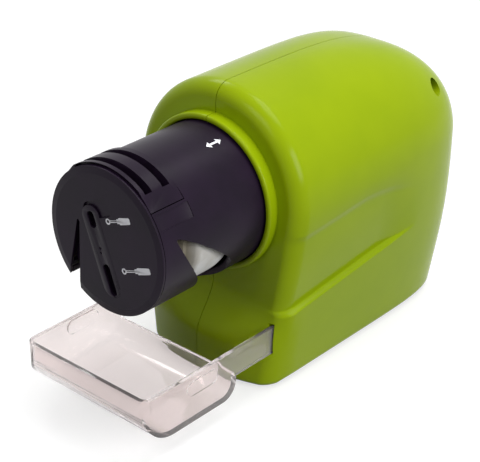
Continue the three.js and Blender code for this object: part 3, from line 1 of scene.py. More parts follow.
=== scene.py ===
import bmesh
import bpy
import numpy as np
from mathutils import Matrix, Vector


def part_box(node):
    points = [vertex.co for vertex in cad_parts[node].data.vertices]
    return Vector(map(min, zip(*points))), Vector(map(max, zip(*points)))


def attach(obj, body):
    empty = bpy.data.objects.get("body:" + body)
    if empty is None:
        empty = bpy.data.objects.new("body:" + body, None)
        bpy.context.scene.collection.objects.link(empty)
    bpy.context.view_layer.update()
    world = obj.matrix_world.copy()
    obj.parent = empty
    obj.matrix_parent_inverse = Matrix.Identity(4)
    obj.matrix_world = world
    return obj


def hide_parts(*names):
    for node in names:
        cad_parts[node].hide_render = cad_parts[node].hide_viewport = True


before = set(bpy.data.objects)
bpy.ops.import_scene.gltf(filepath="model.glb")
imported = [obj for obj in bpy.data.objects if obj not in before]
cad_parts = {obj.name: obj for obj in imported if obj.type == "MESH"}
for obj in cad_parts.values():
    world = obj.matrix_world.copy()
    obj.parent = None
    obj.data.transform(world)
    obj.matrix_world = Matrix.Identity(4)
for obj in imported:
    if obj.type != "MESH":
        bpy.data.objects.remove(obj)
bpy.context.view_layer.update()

# Everything below is worked out in millimetres about the head's axis, with y = 0 on the housing's
# front, and is moved into the frame as it is made into a mesh.
MM = 0.001
HEAD_LENGTH = 52.3
disc_low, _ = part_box("front_disc")
sleeve_low, sleeve_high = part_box("head_sleeve")
HEAD_RADIUS = (sleeve_high.x - sleeve_low.x) / 2 / MM
SHIFT_Y = disc_low.y / MM + HEAD_LENGTH
LIFT_Z = (sleeve_low.z + sleeve_high.z) / 2 / MM
FRAME_SHIFT = np.array([0.0, SHIFT_Y, LIFT_Z])
HEAD_FRONT = -HEAD_LENGTH

scene = bpy.context.scene


# Camera: the photograph's angle, distance and lens

CAMERA_AZIMUTH, CAMERA_ELEVATION = 41.85, 27.95
CAMERA_PLACE = (339.1, -361.1, 246.5)
CAMERA_LENS, CAMERA_SENSOR = 112.5, 36
CLIP_NEAR, CLIP_FAR = 0.01, 20


def add_camera():
    data = bpy.data.cameras.new("camera")
    data.sensor_width, data.lens = CAMERA_SENSOR, CAMERA_LENS
    data.clip_start, data.clip_end = CLIP_NEAR, CLIP_FAR
    camera = bpy.data.objects.new("camera", data)
    azimuth, elevation = np.radians(CAMERA_AZIMUTH), np.radians(CAMERA_ELEVATION)
    level = np.cos(elevation)
    back = Vector((np.sin(azimuth) * level, -np.cos(azimuth) * level, np.sin(elevation)))
    camera.location = [(value + shift) * MM for value, shift in zip(CAMERA_PLACE, FRAME_SHIFT)]
    camera.rotation_mode = "QUATERNION"
    camera.rotation_quaternion = (-back).to_track_quat("-Z", "Y")
    scene.collection.objects.link(camera)
    scene.camera = camera


add_camera()


# Materials

def linear(hex_code, alpha=1.0):
    """sRGB hex to Blender's linear colour."""
    parts = [int(hex_code[i:i + 2], 16) / 255 for i in (1, 3, 5)]
    return [c / 12.92 if c <= 0.04045 else ((c + 0.055) / 1.055) ** 2.4 for c in parts] + [alpha]


def adjust(made, settings):
    """Sets a node's properties and the values of its sockets."""
    for name, value in settings.items():
        if hasattr(made, name):
            setattr(made, name, value)
        else:
            made.inputs[name].default_value = value


def wire(tree, made, **links):
    """Links outputs to a node's sockets, named with _ for a space."""
    for name, output in links.items():
        tree.links.new(output, made.inputs[name.replace("_", " ")])


def node(tree, kind, settings=None, **links):
    made = tree.nodes.new("ShaderNode" + kind)
    adjust(made, settings or {})
    wire(tree, made, **links)
    return made


def new_material(name):
    material = bpy.data.materials.new(name)
    material.use_nodes = True
    material.node_tree.nodes.clear()
    tree = material.node_tree
    shader = node(tree, "BsdfPrincipled")
    out = node(tree, "OutputMaterial")
    tree.links.new(shader.outputs[0], out.inputs["Surface"])
    return material, tree, shader


def pattern(tree, kind, size, output, settings=None):
    """A texture whose cells are this many millimetres wide."""
    place = node(tree, "TexCoord").outputs["Object"]
    return node(tree, kind, {"Scale": 1 / (size * MM), **(settings or {})}, Vector=place).outputs[output]


def noise(tree, size, detail):
    return pattern(tree, "TexNoise", size, "Fac", {"Detail": detail})


def spread(tree, value, low, high):
    return node(tree, "MapRange", {"To Min": low, "To Max": high}, Value=value).outputs[0]


def relief(tree, height, depth, strength=1.0, **links):
    """A bump this many millimetres deep."""
    settings = {"Distance": depth * MM, "Strength": strength}
    return node(tree, "Bump", settings, Height=height, **links).outputs[0]


def shades(tree, value, darker, lighter, start=0.0, stop=1.0):
    """A colour that goes from one shade to the other as the value goes from start to stop."""
    ramp_node = node(tree, "ValToRGB", None, Fac=value)
    for element, at, shade in zip(ramp_node.color_ramp.elements, (start, stop), (darker, lighter)):
        element.position, element.color = at, linear(shade)
    return ramp_node.outputs[0]


SHADE_FROM, SHADE_TO = 0.3, 0.7  # the part of the noise over which a plastic's two shades change
PLASTIC_SPREAD, METAL_SPREAD = (0.85, 1.15), (0.8, 1.3)  # shiniest and dullest places, as shares
PLASTIC_IOR = 1.5


def moulded_plastic(name, colour, darker, roughness, waves, grain, shine=0.5):
    """Injection-moulded plastic: slow sink waves with a flow shade, and the fine grain of the mould, both
    given by their width and depth in millimetres."""
    material, tree, shader = new_material(name)
    flow, fine = noise(tree, waves[0], 3.0), noise(tree, grain[0], 2.0)
    low, high = PLASTIC_SPREAD
    wire(tree, shader, Base_Color=shades(tree, flow, darker, colour, SHADE_FROM, SHADE_TO),
         Roughness=spread(tree, flow, roughness * low, roughness * high),
         Normal=relief(tree, fine, grain[1], Normal=relief(tree, flow, waves[1])))
    adjust(shader, {"IOR": PLASTIC_IOR, "Specular IOR Level": shine})
    return material


def metal(name, colour, darker, roughness, scratch_mm, depth):
    """Metal with fine tool marks or drawing lines that break up its shine."""
    material, tree, shader = new_material(name)
    marks = noise(tree, scratch_mm, 4.0)
    low, high = METAL_SPREAD
    wire(tree, shader, Base_Color=shades(tree, marks, darker, colour),
         Roughness=spread(tree, marks, roughness * low, roughness * high), Normal=relief(tree, marks, depth))
    adjust(shader, {"Metallic": 1.0})
    return material


# Gloss-moulded ABS: a polished mould leaves it shiny, with slow waves that bend the reflections
GREEN_ABS = moulded_plastic("abs_gloss_moulded_green", "#92a808", "#8ca306", roughness=0.2,
                            waves=(24, 0.05), grain=(0.9, 0.0015), shine=0.08)
# Satin-moulded ABS: a fine spark-eroded mould texture spreads the highlights on the near-black
BLACK_ABS = moulded_plastic("abs_satin_moulded_black", "#211527", "#18101d", roughness=0.34,
                            waves=(18, 0.04), grain=(0.5, 0.004), shine=0.1)
# The same near-black plastic, more polished, on the screwdriver guide and the rocker
BLACK_GUIDE = moulded_plastic("abs_polished_moulded_black", "#221828", "#1a131e", roughness=0.28,
                              waves=(12, 0.03), grain=(0.6, 0.003), shine=0.14)
# Unpainted engineering plastic of hidden parts: dull, from a plain mould
GREY_NYLON = moulded_plastic("nylon_plain_moulded_grey", "#4b4b50", "#444449", roughness=0.6,
                             waves=(15, 0.05), grain=(0.7, 0.01))
# Moulded rubber: matt and slightly dusty
FOOT_RUBBER = moulded_plastic("rubber_moulded_black", "#222224", "#1c1c1e", roughness=0.85,
                              waves=(6, 0.05), grain=(0.6, 0.02))
# Soft vinyl insulation, extruded: an even half-shine
RED_VINYL = moulded_plastic("vinyl_extruded_red", "#b3251f", "#a31f1a", roughness=0.45,
                            waves=(5, 0.02), grain=(0.5, 0.004))
BLACK_VINYL = moulded_plastic("vinyl_extruded_black", "#1b1b1e", "#161618", roughness=0.45,
                              waves=(5, 0.02), grain=(0.5, 0.004))
# Shrink-wrapped cell sleeve: thin glossy film, plain
CELL_FILM = moulded_plastic("cell_film_shrunk_gold", "#c8a032", "#b9922b", roughness=0.25,
                            waves=(8, 0.03), grain=(0.8, 0.003))
# White screen-printed ink: thin, matt, with ragged density
WHITE_INK = moulded_plastic("ink_screen_printed_white", "#fbfbff", "#f2f2fa", roughness=0.6,
                            waves=(1.2, 0.005), grain=(0.3, 0.003))
# Nickel-plated steel, drawn or stamped: bright, broken up by fine lines
NICKEL_STEEL = metal("steel_nickel_plated", "#c6c8ca", "#a9abae", roughness=0.28, scratch_mm=0.8, depth=0.004)
# Turned brass: tool marks that dull its shine
TURNED_BRASS = metal("brass_turned", "#d2ad62", "#b9944c", roughness=0.3, scratch_mm=0.5, depth=0.006)


GRIT_MM, GRIT_DEPTH, STAIN_MM = 0.5, 0.08, 7
BROWN_TO, BROWN_FADE, BROWN_SHARE = 22.5, 5, 0.85  # how far the brown tone reaches from the head's front; how far it fades; how strongly it covers


def sintered_stone():
    """Sintered alumina: matt pale grit of about 0.1 mm, drawn at 0.5 mm so that it shows, and a darker brown
    tone over its front part, where the slots are, fading out behind them."""
    material, tree, shader = new_material("alumina_sintered_grey")
    grit, stain = pattern(tree, "TexVoronoi", GRIT_MM, "Distance"), noise(tree, STAIN_MM, 4.0)
    along = node(tree, "SeparateXYZ", None, Vector=node(tree, "TexCoord").outputs["Object"]).outputs["Y"]
    # The colour is mixed towards a darker brown over the stone's front part, and fades out behind it
    far = HEAD_FRONT + SHIFT_Y + BROWN_TO
    browner = node(tree, "MapRange", {"From Min": (far - BROWN_FADE) * MM, "From Max": far * MM,
                                    "To Min": BROWN_SHARE, "To Max": 0.0}, Value=along)
    toned = node(tree, "Mix", {"data_type": "RGBA"})
    toned.inputs["B"].default_value = linear("#6f6448")
    tree.links.new(browner.outputs[0], toned.inputs["Factor"])
    tree.links.new(shades(tree, stain, "#cfcdc8", "#e2e2e2", 0.35, 0.6), toned.inputs[6])
    wire(tree, shader, Base_Color=toned.outputs[2], Normal=relief(tree, grit, GRIT_DEPTH, 0.8))
    adjust(shader, {"Roughness": 0.9})
    return material


HAZE_MM, HAZE_DEPTH = 14, 0.06


def clear_styrene():
    """Crystal polystyrene, moulded: colourless to faint pink, with sharp bright edges and faint haze."""
    material, tree, shader = new_material("polystyrene_crystal_moulded")
    haze = noise(tree, HAZE_MM, 3.0)
    wire(tree, shader, Roughness=spread(tree, haze, 0.02, 0.08), Normal=relief(tree, haze, HAZE_DEPTH))
    adjust(shader, {"Base Color": linear("#f8efee"), "Transmission Weight": 0.9, "IOR": 1.18,
                    "Coat Weight": 0.6, "Coat IOR": PLASTIC_IOR, "Coat Roughness": 0.04})
    return material


STONE = sintered_stone()
CLEAR_STYRENE = clear_styrene()


# Mesh making

SMOOTH_ANGLE = 30  # edges flatter than this many degrees shade as one surface
CUT_RUN = 5  # how far a cutting form runs past what it cuts
ON_AXIS, NO_VECTOR = 1e-6, 1e-9


def keep(name, points, faces, material=None):
    """A mesh object from points in working millimetres."""
    mesh = bpy.data.meshes.new(name)
    placed = (np.asarray(points) + FRAME_SHIFT) * MM
    mesh.from_pydata([tuple(p) for p in placed], [], [tuple(f) for f in faces])
    mesh.validate()
    mesh.update()
    made = bpy.data.objects.new(name, mesh)
    scene.collection.objects.link(made)
    if material:
        mesh.materials.append(material)
    smooth(made)
    return made


def smooth(made):
    mesh = made.data
    mesh.polygons.foreach_set("use_smooth", [True] * len(mesh.polygons))
    mesh.set_sharp_from_angle(angle=np.radians(SMOOTH_ANGLE))
    mesh.update()


def outward(made, prepare=None):
    """Turns all faces of a closed mesh outwards, after prepare has worked on it."""
    shape = bmesh.new()
    shape.from_mesh(made.data)
    if prepare:
        prepare(shape)
    bmesh.ops.recalc_face_normals(shape, faces=shape.faces)
    shape.to_mesh(made.data)
    shape.free()
    return made


def settle(made):
    """Applies all modifiers of an object."""
    bpy.context.view_layer.update()
    solid = bpy.data.meshes.new_from_object(made.evaluated_get(bpy.context.evaluated_depsgraph_get()))
    old = made.data
    made.modifiers.clear()
    made.data = solid
    solid.name = made.name
    bpy.data.meshes.remove(old)


def carve(made, *tools, operation="DIFFERENCE"):
    """Cuts each tool away, adds it or keeps the common part; the tools are then removed."""
    for tool in tools:
        cut = made.modifiers.new("cut", "BOOLEAN")
        cut.operation, cut.object, cut.solver = operation, tool, "EXACT"
        settle(made)
        bpy.data.objects.remove(tool)


def ease(made, width, angle=40):
    """Rounds the sharp edges by a width in millimetres."""
    edge = made.modifiers.new("ease", "BEVEL")
    edge.width, edge.segments = width * MM, 2
    edge.limit_method, edge.angle_limit = "ANGLE", np.radians(angle)
    edge.use_clamp_overlap = True
    edge.harden_normals = False
    settle(made)
    smooth(made)


def finish_piece(made, body, slot, *nodes):
    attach(made, body)
    if nodes:
        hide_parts(*nodes)


def block(name, low, high):
    corners = [(x, y, z) for x in (low[0], high[0]) for y in (low[1], high[1]) for z in (low[2], high[2])]
    faces = [(0, 1, 3, 2), (4, 6, 7, 5), (0, 4, 5, 1), (2, 3, 7, 6), (0, 2, 6, 4), (1, 5, 7, 3)]
    return outward(keep(name, corners, faces))


def joined_faces(count):
    """Faces that close and join two like outlines of this many points."""
    ends = [tuple(range(count)), tuple(range(2 * count - 1, count - 1, -1))]
    return ends + [(i, (i + 1) % count, count + (i + 1) % count, count + i) for i in range(count)]


def prism(name, outline, low, high, axis, material=None):
    """A closed outline in the two axes other than the given one (in x, y, z order), pushed along it."""
    flat = np.asarray(outline, float)
    ends = [np.insert(flat, axis, value, axis=1) for value in (low, high)]
    return outward(keep(name, np.vstack(ends), joined_faces(len(flat)), material))


def lathe(name, profile, sides, material=None):
    """A closed profile of (radius, y) turned about the head's axis; radius 0 meets the axis."""
    turns = (np.arange(sides) + 0.5) * 2 * np.pi / sides
    points, rows = [], []
    for radius, y in profile:
        if radius < ON_AXIS:
            rows.append([len(points)] * sides)
            points.append((0, y, 0))
        else:
            rows.append(list(range(len(points), len(points) + sides)))
            points += [(radius * np.sin(t), y, radius * np.cos(t)) for t in turns]
    faces = []
    for a, b in zip(rows, rows[1:] + rows[:1]):
        for i in range(sides):
            k = (i + 1) % sides
            corners = list(dict.fromkeys((a[i], a[k], b[k], b[i])))
            if len(corners) > 2:
                faces.append(corners)
    return outward(keep(name, points, faces, material))


def arc(centre, radius, start, stop, steps):
    turns = np.radians(np.linspace(start, stop, steps + 1))
    return [(centre[0] + radius * np.cos(t), centre[1] + radius * np.sin(t)) for t in turns]


def stadium(centre, half_length, half_width, turn=0.0, steps=16):
    straight = half_length - half_width
    points = arc((0, straight), half_width, 0, 180, steps) + arc((0, -straight), half_width, 180, 360, steps)
    cos, sin = np.cos(np.radians(turn)), np.sin(np.radians(turn))
    return [(centre[0] + a * cos - b * sin, centre[1] + a * sin + b * cos) for a, b in points]


def round_corners(points, radius, steps=6):
    """Replaces each corner of a closed outline by an arc."""
    points = [np.array(p, float) for p in points]
    result = []
    for before, corner, after in zip(points[-1:] + points[:-1], points, points[1:] + points[:1]):
        a, b = before - corner, after - corner
        a, b = a / np.linalg.norm(a), b / np.linalg.norm(b)
        half = np.arccos(np.clip(a @ b, -1, 1)) / 2
        reach = radius / np.tan(half)
        centre = corner + (a + b) / np.linalg.norm(a + b) * radius / np.sin(half)
        start, stop = corner + a * reach - centre, corner + b * reach - centre
        for share in np.linspace(0, 1, steps + 1):
            middle = start * (1 - share) + stop * share
            result.append(tuple(centre + middle / np.linalg.norm(middle) * radius))
    return result


def curve_through(points, steps):
    """A smooth closed outline through the points."""
    p1 = np.array(points, float)
    p0, p2, p3 = np.roll(p1, 1, 0), np.roll(p1, -1, 0), np.roll(p1, -2, 0)
    pieces = []
    for t in np.arange(steps) / steps:
        pieces.append(p1 + (p2 - p0) * t / 2 + (2 * p0 - 5 * p1 + 4 * p2 - p3) * t ** 2 / 2
                      + (3 * p1 - p0 - 3 * p2 + p3) * t ** 3 / 2)
    return np.stack(pieces, 1).reshape(-1, 2)


def unit(vectors):
    """The vectors at a length of 1, and the lengths that they had."""
    length = np.linalg.norm(vectors, axis=1, keepdims=True)
    return vectors / np.maximum(length, NO_VECTOR), length[:, 0]


def true_normals(made, rule):
    """Sets exact normals where rule(points, face_normals) gives them, for a clean shine over cut edges."""
    mesh = made.data
    corners = len(mesh.loops)
    normals = np.empty(corners * 3)
    mesh.corner_normals.foreach_get("vector", normals)
    normals = normals.reshape(-1, 3)
    vertex = np.empty(corners, int)
    mesh.loops.foreach_get("vertex_index", vertex)
    points = np.empty(len(mesh.vertices) * 3)
    mesh.vertices.foreach_get("co", points)
    points = points.reshape(-1, 3) / MM - FRAME_SHIFT
    faces = np.empty(len(mesh.polygons) * 3)
    mesh.polygons.foreach_get("normal", faces)
    sizes = np.empty(len(mesh.polygons), int)
    mesh.polygons.foreach_get("loop_total", sizes)
    face_normals = np.repeat(faces.reshape(-1, 3), sizes, axis=0)
    mask, exact = rule(points[vertex], face_normals)
    normals[mask] = exact[mask]
    mesh.normals_split_custom_set([tuple(n) for n in normals])
    mesh.update()


# Housing form: the solids' distance field, negative inside. Only the grip recess has a section of its own,
# softer at its upper crease and a little shallower.

BODY_HALF_WIDTH, BASE_HALF_WIDTH, BODY_TOP, BASE_DROP = 40.9, 31.7, 41.4, 73.2
BODY_REAR, BASE_REAR = 121.0, 115.0
WALL, FRONT_FILLET, BASE_FILLET = 2.4, 6.5, 2.6
PLAN_POWER_TOP, PLAN_POWER_GAIN, POWER_FROM_Z, POWER_TO_Z = 3.05, 1.1, 10, -50
WIDTH_POWER, REAR_POWER, LENGTH_POWER = 1.3, 1.13, 2.35
LOWEST_SHARE, LEAST_SLOPE_SHARE, SLOPE_STEP = 1.2, 0.2, 0.04
FACE_Y, FACE_LOW_Y, FACE_TOP_LEAN = 2.3, 1, 0.03
CHIN, CHIN_FROM_Z, CHIN_TO_Z, CHIN_HALF_WIDTH = 8.4, -37, -58, 34
GRIP_TOP_Z, GRIP_TOP_RISE, GRIP_BEND_Y, GRIP_BEND_RADIUS = -9.1, 0.075, 43, 91
GRIP_BOTTOM_Z, GRIP_BOTTOM_RISE = -41.5, 0.125
GRIP_CREASE, GRIP_LEDGE = 1.9, 0.9  # half the heights over which the upper crease and lower ledge round off
GRIP_STEP, GRIP_SLANT, GRIP_POWER = 0.7, 1.9, 1.7
GRIP_FADE_FROM_Y, GRIP_END = 56, 82.0
COLLAR_INNER, COLLAR_THICK, COLLAR_FRONT = HEAD_RADIUS + 0.4, 2.4, -0.8
COLLAR_LIP, COLLAR_REAR, COLLAR_SIDES = 0.9, 7.6, 192
HALVINGS = 34


def ramp(start, stop, value):
    t = np.clip((value - start) / (stop - start), 0, 1)
    return t * t * (3 - 2 * t)


def body_power(x, y, z):
    low = ramp(POWER_FROM_Z, POWER_TO_Z, z)
    power = PLAN_POWER_TOP + PLAN_POWER_GAIN * low
    drop = np.clip(-z / BASE_DROP, 0, LOWEST_SHARE)
    half_width = BODY_HALF_WIDTH - (BODY_HALF_WIDTH - BASE_HALF_WIDTH) * drop ** WIDTH_POWER
    rear = BODY_REAR - (BODY_REAR - BASE_REAR) * drop ** REAR_POWER
    plan = (np.abs(x) / half_width) ** power + (np.maximum(y, 0) / rear) ** (LENGTH_POWER * power)
    return plan ** (2 / power) + (np.maximum(z, 0) / BODY_TOP) ** 2


def differences(field, x, y, z, step):
    """How much a field changes from a step below to a step above, along x, y and z."""
    return (field(x + step, y, z) - field(x - step, y, z), field(x, y + step, z) - field(x, y - step, z),
            field(x, y, z + step) - field(x, y, z - step))


def body_distance(x, y, z):
    by_x, by_y, by_z = differences(body_power, x, y, z, SLOPE_STEP)
    slope = np.sqrt(by_x ** 2 + by_y ** 2 + by_z ** 2) / (2 * SLOPE_STEP)
    return (body_power(x, y, z) - 1) / np.maximum(slope, LEAST_SLOPE_SHARE / BODY_HALF_WIDTH)


def face_y(x, z):
    upright = FACE_Y + FACE_TOP_LEAN * np.maximum(z - CHIN_FROM_Z, 0)
    bow = 1 - np.minimum((x / CHIN_HALF_WIDTH) ** 2, 1)
    return upright + (FACE_LOW_Y - FACE_Y - CHIN * bow) * ramp(CHIN_FROM_Z, CHIN_TO_Z, z)


def grip_top(y):
    bend = np.maximum(y - GRIP_BEND_Y, 0)
    return GRIP_TOP_Z + GRIP_TOP_RISE * np.minimum(y, GRIP_BEND_Y) - bend ** 2 / (2 * GRIP_BEND_RADIUS)


def grip_bottom(y):
    return GRIP_BOTTOM_Z + GRIP_BOTTOM_RISE * y


def grip_depth(y, z):
    top, bottom = grip_top(y), grip_bottom(y)
    inside = ramp(top + GRIP_CREASE, top - GRIP_CREASE, z) * ramp(bottom - GRIP_LEDGE, bottom + GRIP_LEDGE, z)
    slanted = GRIP_STEP + GRIP_SLANT * np.clip((top - z) / (top - bottom), 0, 1) ** GRIP_POWER
    return inside * slanted * (1 - ramp(GRIP_FADE_FROM_Y, GRIP_END, y))


def fillet_max(a, b, radius):
    corner = np.hypot(np.maximum(a + radius, 0), np.maximum(b + radius, 0)) - radius
    return np.maximum(np.minimum(np.maximum(a, b), -radius), corner)


def housing_distance(x, y, z):
    sides = body_distance(x, y, z) + grip_depth(y, z) * ramp(0, BASE_HALF_WIDTH, np.abs(x))
    upper = fillet_max(sides, face_y(x, z) - y, FRONT_FILLET)
    return fillet_max(upper, -BASE_DROP - z, BASE_FILLET)


def reach_from(origin, direction, depth):
    inside, outside = np.zeros(len(origin)), np.full(len(origin), BODY_REAR + BASE_DROP)
    for _ in range(HALVINGS):
        middle = (inside + outside) / 2
        hit = housing_distance(*(origin + direction * middle[:, None]).T) + depth < 0
        inside, outside = np.where(hit, middle, inside), np.where(hit, outside, middle)
    return inside


SIDE_FROM_SHARE, SIDE_TO_SHARE, REAR_CENTRE_SHARE, REAR_SWEEP_SHARE = 0.11, 0.78, 0.6, 1.7


def skin_grid(depth, heights, tilts, face_steps, corner_steps, side_steps, rear_steps):
    """Lines from the middle of the front round the +x side to the middle of the rear, one per height or
    tilt about the axis. The result is lines by stations by xyz."""
    tilt = np.radians(np.concatenate([np.zeros(len(heights)), tilts]))
    count = len(tilt)
    cos, sin = np.cos(tilt), np.sin(tilt)

    def height(y):
        return np.concatenate([[rule(v) for rule, v in zip(heights, y)], np.zeros(len(tilts))])

    def hit(out, y, out_part, y_part):
        out, y = np.broadcast_to(out, count), np.broadcast_to(y, count)
        out_part, y_part = np.broadcast_to(out_part, count), np.broadcast_to(y_part, count)
        origin = np.stack([out * cos, y, height(y) + out * sin], 1)
        direction = np.stack([out_part * cos, y_part, out_part * sin], 1)
        return origin + direction * reach_from(origin, direction, depth)[:, None]

    bend, flank_y = FRONT_FILLET - depth, 2 * FRONT_FILLET
    start = hit(0, flank_y, 1, 0)
    middle = np.stack([np.zeros(count), np.full(count, flank_y), height(np.full(count, flank_y))], 1)
    flank = np.linalg.norm(start - middle, axis=1)
    edge = flank - bend
    stations = [hit(edge * share, flank_y, 0, -1) for share in np.linspace(0, 1, face_steps)]
    corner_y = stations[-1][:, 1] + bend
    for turn in np.radians(np.linspace(0, 90, corner_steps + 1)[1:]):
        stations.append(hit(edge, corner_y, np.sin(turn), -np.cos(turn)))
    for share in np.linspace(SIDE_FROM_SHARE, SIDE_TO_SHARE, side_steps):
        stations.append(hit(0, BODY_REAR * share, 1, 0))
    rear_y = BODY_REAR * REAR_CENTRE_SHARE
    for share in np.linspace(REAR_SWEEP_SHARE, 0, rear_steps):
        out_part, y_part = flank * share, np.full(count, BODY_REAR - rear_y)
        length = np.hypot(out_part, y_part)
        stations.append(hit(0, rear_y, out_part / length, y_part / length))
    return np.stack(stations, 1)


BELOW_GRIP, LEAST_SHARE = 3, 1e-4


def height_rules(depth, low, grip):
    """The heights of the flank's lines: from the underside up to the grip, then across the grip."""
    base = -BASE_DROP + depth

    def below(share):
        return lambda y: base + (grip_bottom(min(y, GRIP_END)) - BELOW_GRIP - base) * max(share, LEAST_SHARE)

    def across(share):
        return lambda y: grip_bottom(min(y, GRIP_END)) * (1 - share) + grip_top(min(y, GRIP_END)) * share

    return [below(s) for s in low] + [across(s) for s in grip]


SAME_POINT, NO_LENGTH = 1e-6, 1e-7  # in metres


def skin_solid(name, depth, heights, tilts, *steps):
    """The housing form on the +x side, closed on its underside and along the middle."""
    grid = skin_grid(depth, heights, tilts, *steps)
    lines, across = grid.shape[:2]
    points = grid.reshape(-1, 3).copy()
    faces = [(a * across + b, a * across + b + 1, (a + 1) * across + b + 1, (a + 1) * across + b)
             for a in range(lines - 1) for b in range(across - 1)]
    mirrored = points * (-1, 1, 1)
    count = len(points)
    faces += [tuple(count + i for i in reversed(face)) for face in faces]
    faces += [(b, count + b, count + b + 1, b + 1) for b in range(across - 1)]

    def weld(shape):
        bmesh.ops.remove_doubles(shape, verts=shape.verts, dist=SAME_POINT)
        bmesh.ops.dissolve_degenerate(shape, edges=shape.edges, dist=NO_LENGTH)

    return outward(keep(name, np.vstack([points, mirrored]), faces), weld)


SKIN_STEP, ON_SKIN, SKIN_AGREES = 0.02, 0.05, 0.85


def skin_rule(points, face_normals):
    """Exact normals for what lies on the outer skin."""
    x, y, z = points.T
    slope, _ = unit(np.stack(differences(housing_distance, x, y, z, SKIN_STEP), 1))
    on_skin = np.abs(housing_distance(x, y, z)) < ON_SKIN
    agrees = np.sum(slope * face_normals, axis=1) > SKIN_AGREES
    return on_skin & agrees, slope


ARM_SLOT_X, ARM_SLOT_Y, ARM_SLOT_Z = (29.0, 31.4), (-20, 12), (-57.9, -45.2)
SEAM = 0.15
SCREW_AT, SCREW_RECESS, SCREW_SEAT, SCREW_HOLE, SCREW_BOSS = (97.8, 20.2), 3.1, 12.3, 1.4, 5.2
SWITCH_HOLE = ((-9.6, 110, -20.6), (9.6, 130, -7.4))
GAP, RUN_GAP = 0.3, 0.4
DOOR_REBATE, BAY_LEDGE, HEAD_SEAT, BOX_EAR = 1.3, 1.4, 1.2, 7.0
BORE_FROM, BORE_TO, BORE_SIDES = -20, 12, 128
BESIDE, UNDER, AROUND = 60, -90, 150  # past the housing's side, past its underside, and past all of it
HALF_ROOM, PAST_SEAM = (90, 250), -10  # past one half's side and rear, and past the seam
LOW_SHARES = [0, 0.0006, 0.004, 0.012, 0.024, 0.04, 0.06, 0.085, 0.12, *np.linspace(0.2, 1, 11)]
GRIP_SHARES = [-0.07, -0.04, -0.02, -0.007, 0.007, 0.02, 0.04, 0.07, 0.1, *np.linspace(0.18, 0.9, 9),
               0.95, 0.975, 0.99, 1.0, 1.01, 1.025, 1.05]
SKIN_LINES = (10, 12, 56, 30)  # over the face, the corner, the side and the rear
HOLLOW_LOW_SHARES, HOLLOW_GRIP_SHARES = [0, 0.1, 0.5, 1], [0.05, 0.5, 0.95, 1.05]
HOLLOW_LINES = (4, 4, 14, 10)


def rod(name, radius, low, high, at, sides, axis=0):
    turns = np.linspace(0, 2 * np.pi, sides, endpoint=False)
    outline = [(at[0] + radius * np.cos(t), at[1] + radius * np.sin(t)) for t in turns]
    return prism(name, outline, low, high, axis)


def in_frame(node_name):
    """A CAD node's box in working millimetres."""
    low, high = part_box(node_name)
    return np.array(low) / MM - FRAME_SHIFT, np.array(high) / MM - FRAME_SHIFT


def collar_profile():
    """The ring round the head: a half-round front lip, then straight back into the face."""
    middle, half, lip_y = COLLAR_INNER + COLLAR_THICK / 2, COLLAR_THICK / 2, COLLAR_FRONT + COLLAR_LIP
    lip = [(middle - half * np.cos(t), lip_y - COLLAR_LIP * np.sin(t))
           for t in np.radians(np.linspace(15, 165, 11))]
    outer = COLLAR_INNER + COLLAR_THICK
    return [(COLLAR_INNER, lip_y), *lip, (outer, lip_y), (outer, COLLAR_REAR), (COLLAR_INNER, COLLAR_REAR)]


def base_holes():
    """Holes in the underside for the base screws, each with its countersunk seat, and for the feet."""
    cuts = []
    corners = ("front_left", "front_right", "rear_left", "rear_right")
    for name in [kind + corner for kind in ("base_screw_", "foot_") for corner in corners]:
        low, high = in_frame(name)
        middle, radius = (low + high) / 2, (high[0] - low[0]) / 2 + GAP
        top = high[2] + GAP if name.startswith("foot") else -BASE_DROP + HEAD_SEAT
        cuts.append(rod("hole", radius, UNDER, top, middle[:2], 48, 2))
        if not name.startswith("foot"):
            cuts.append(rod("hole", SCREW_HOLE, UNDER, -BASE_DROP + 2 * WALL, middle[:2], 24, 2))
    return cuts


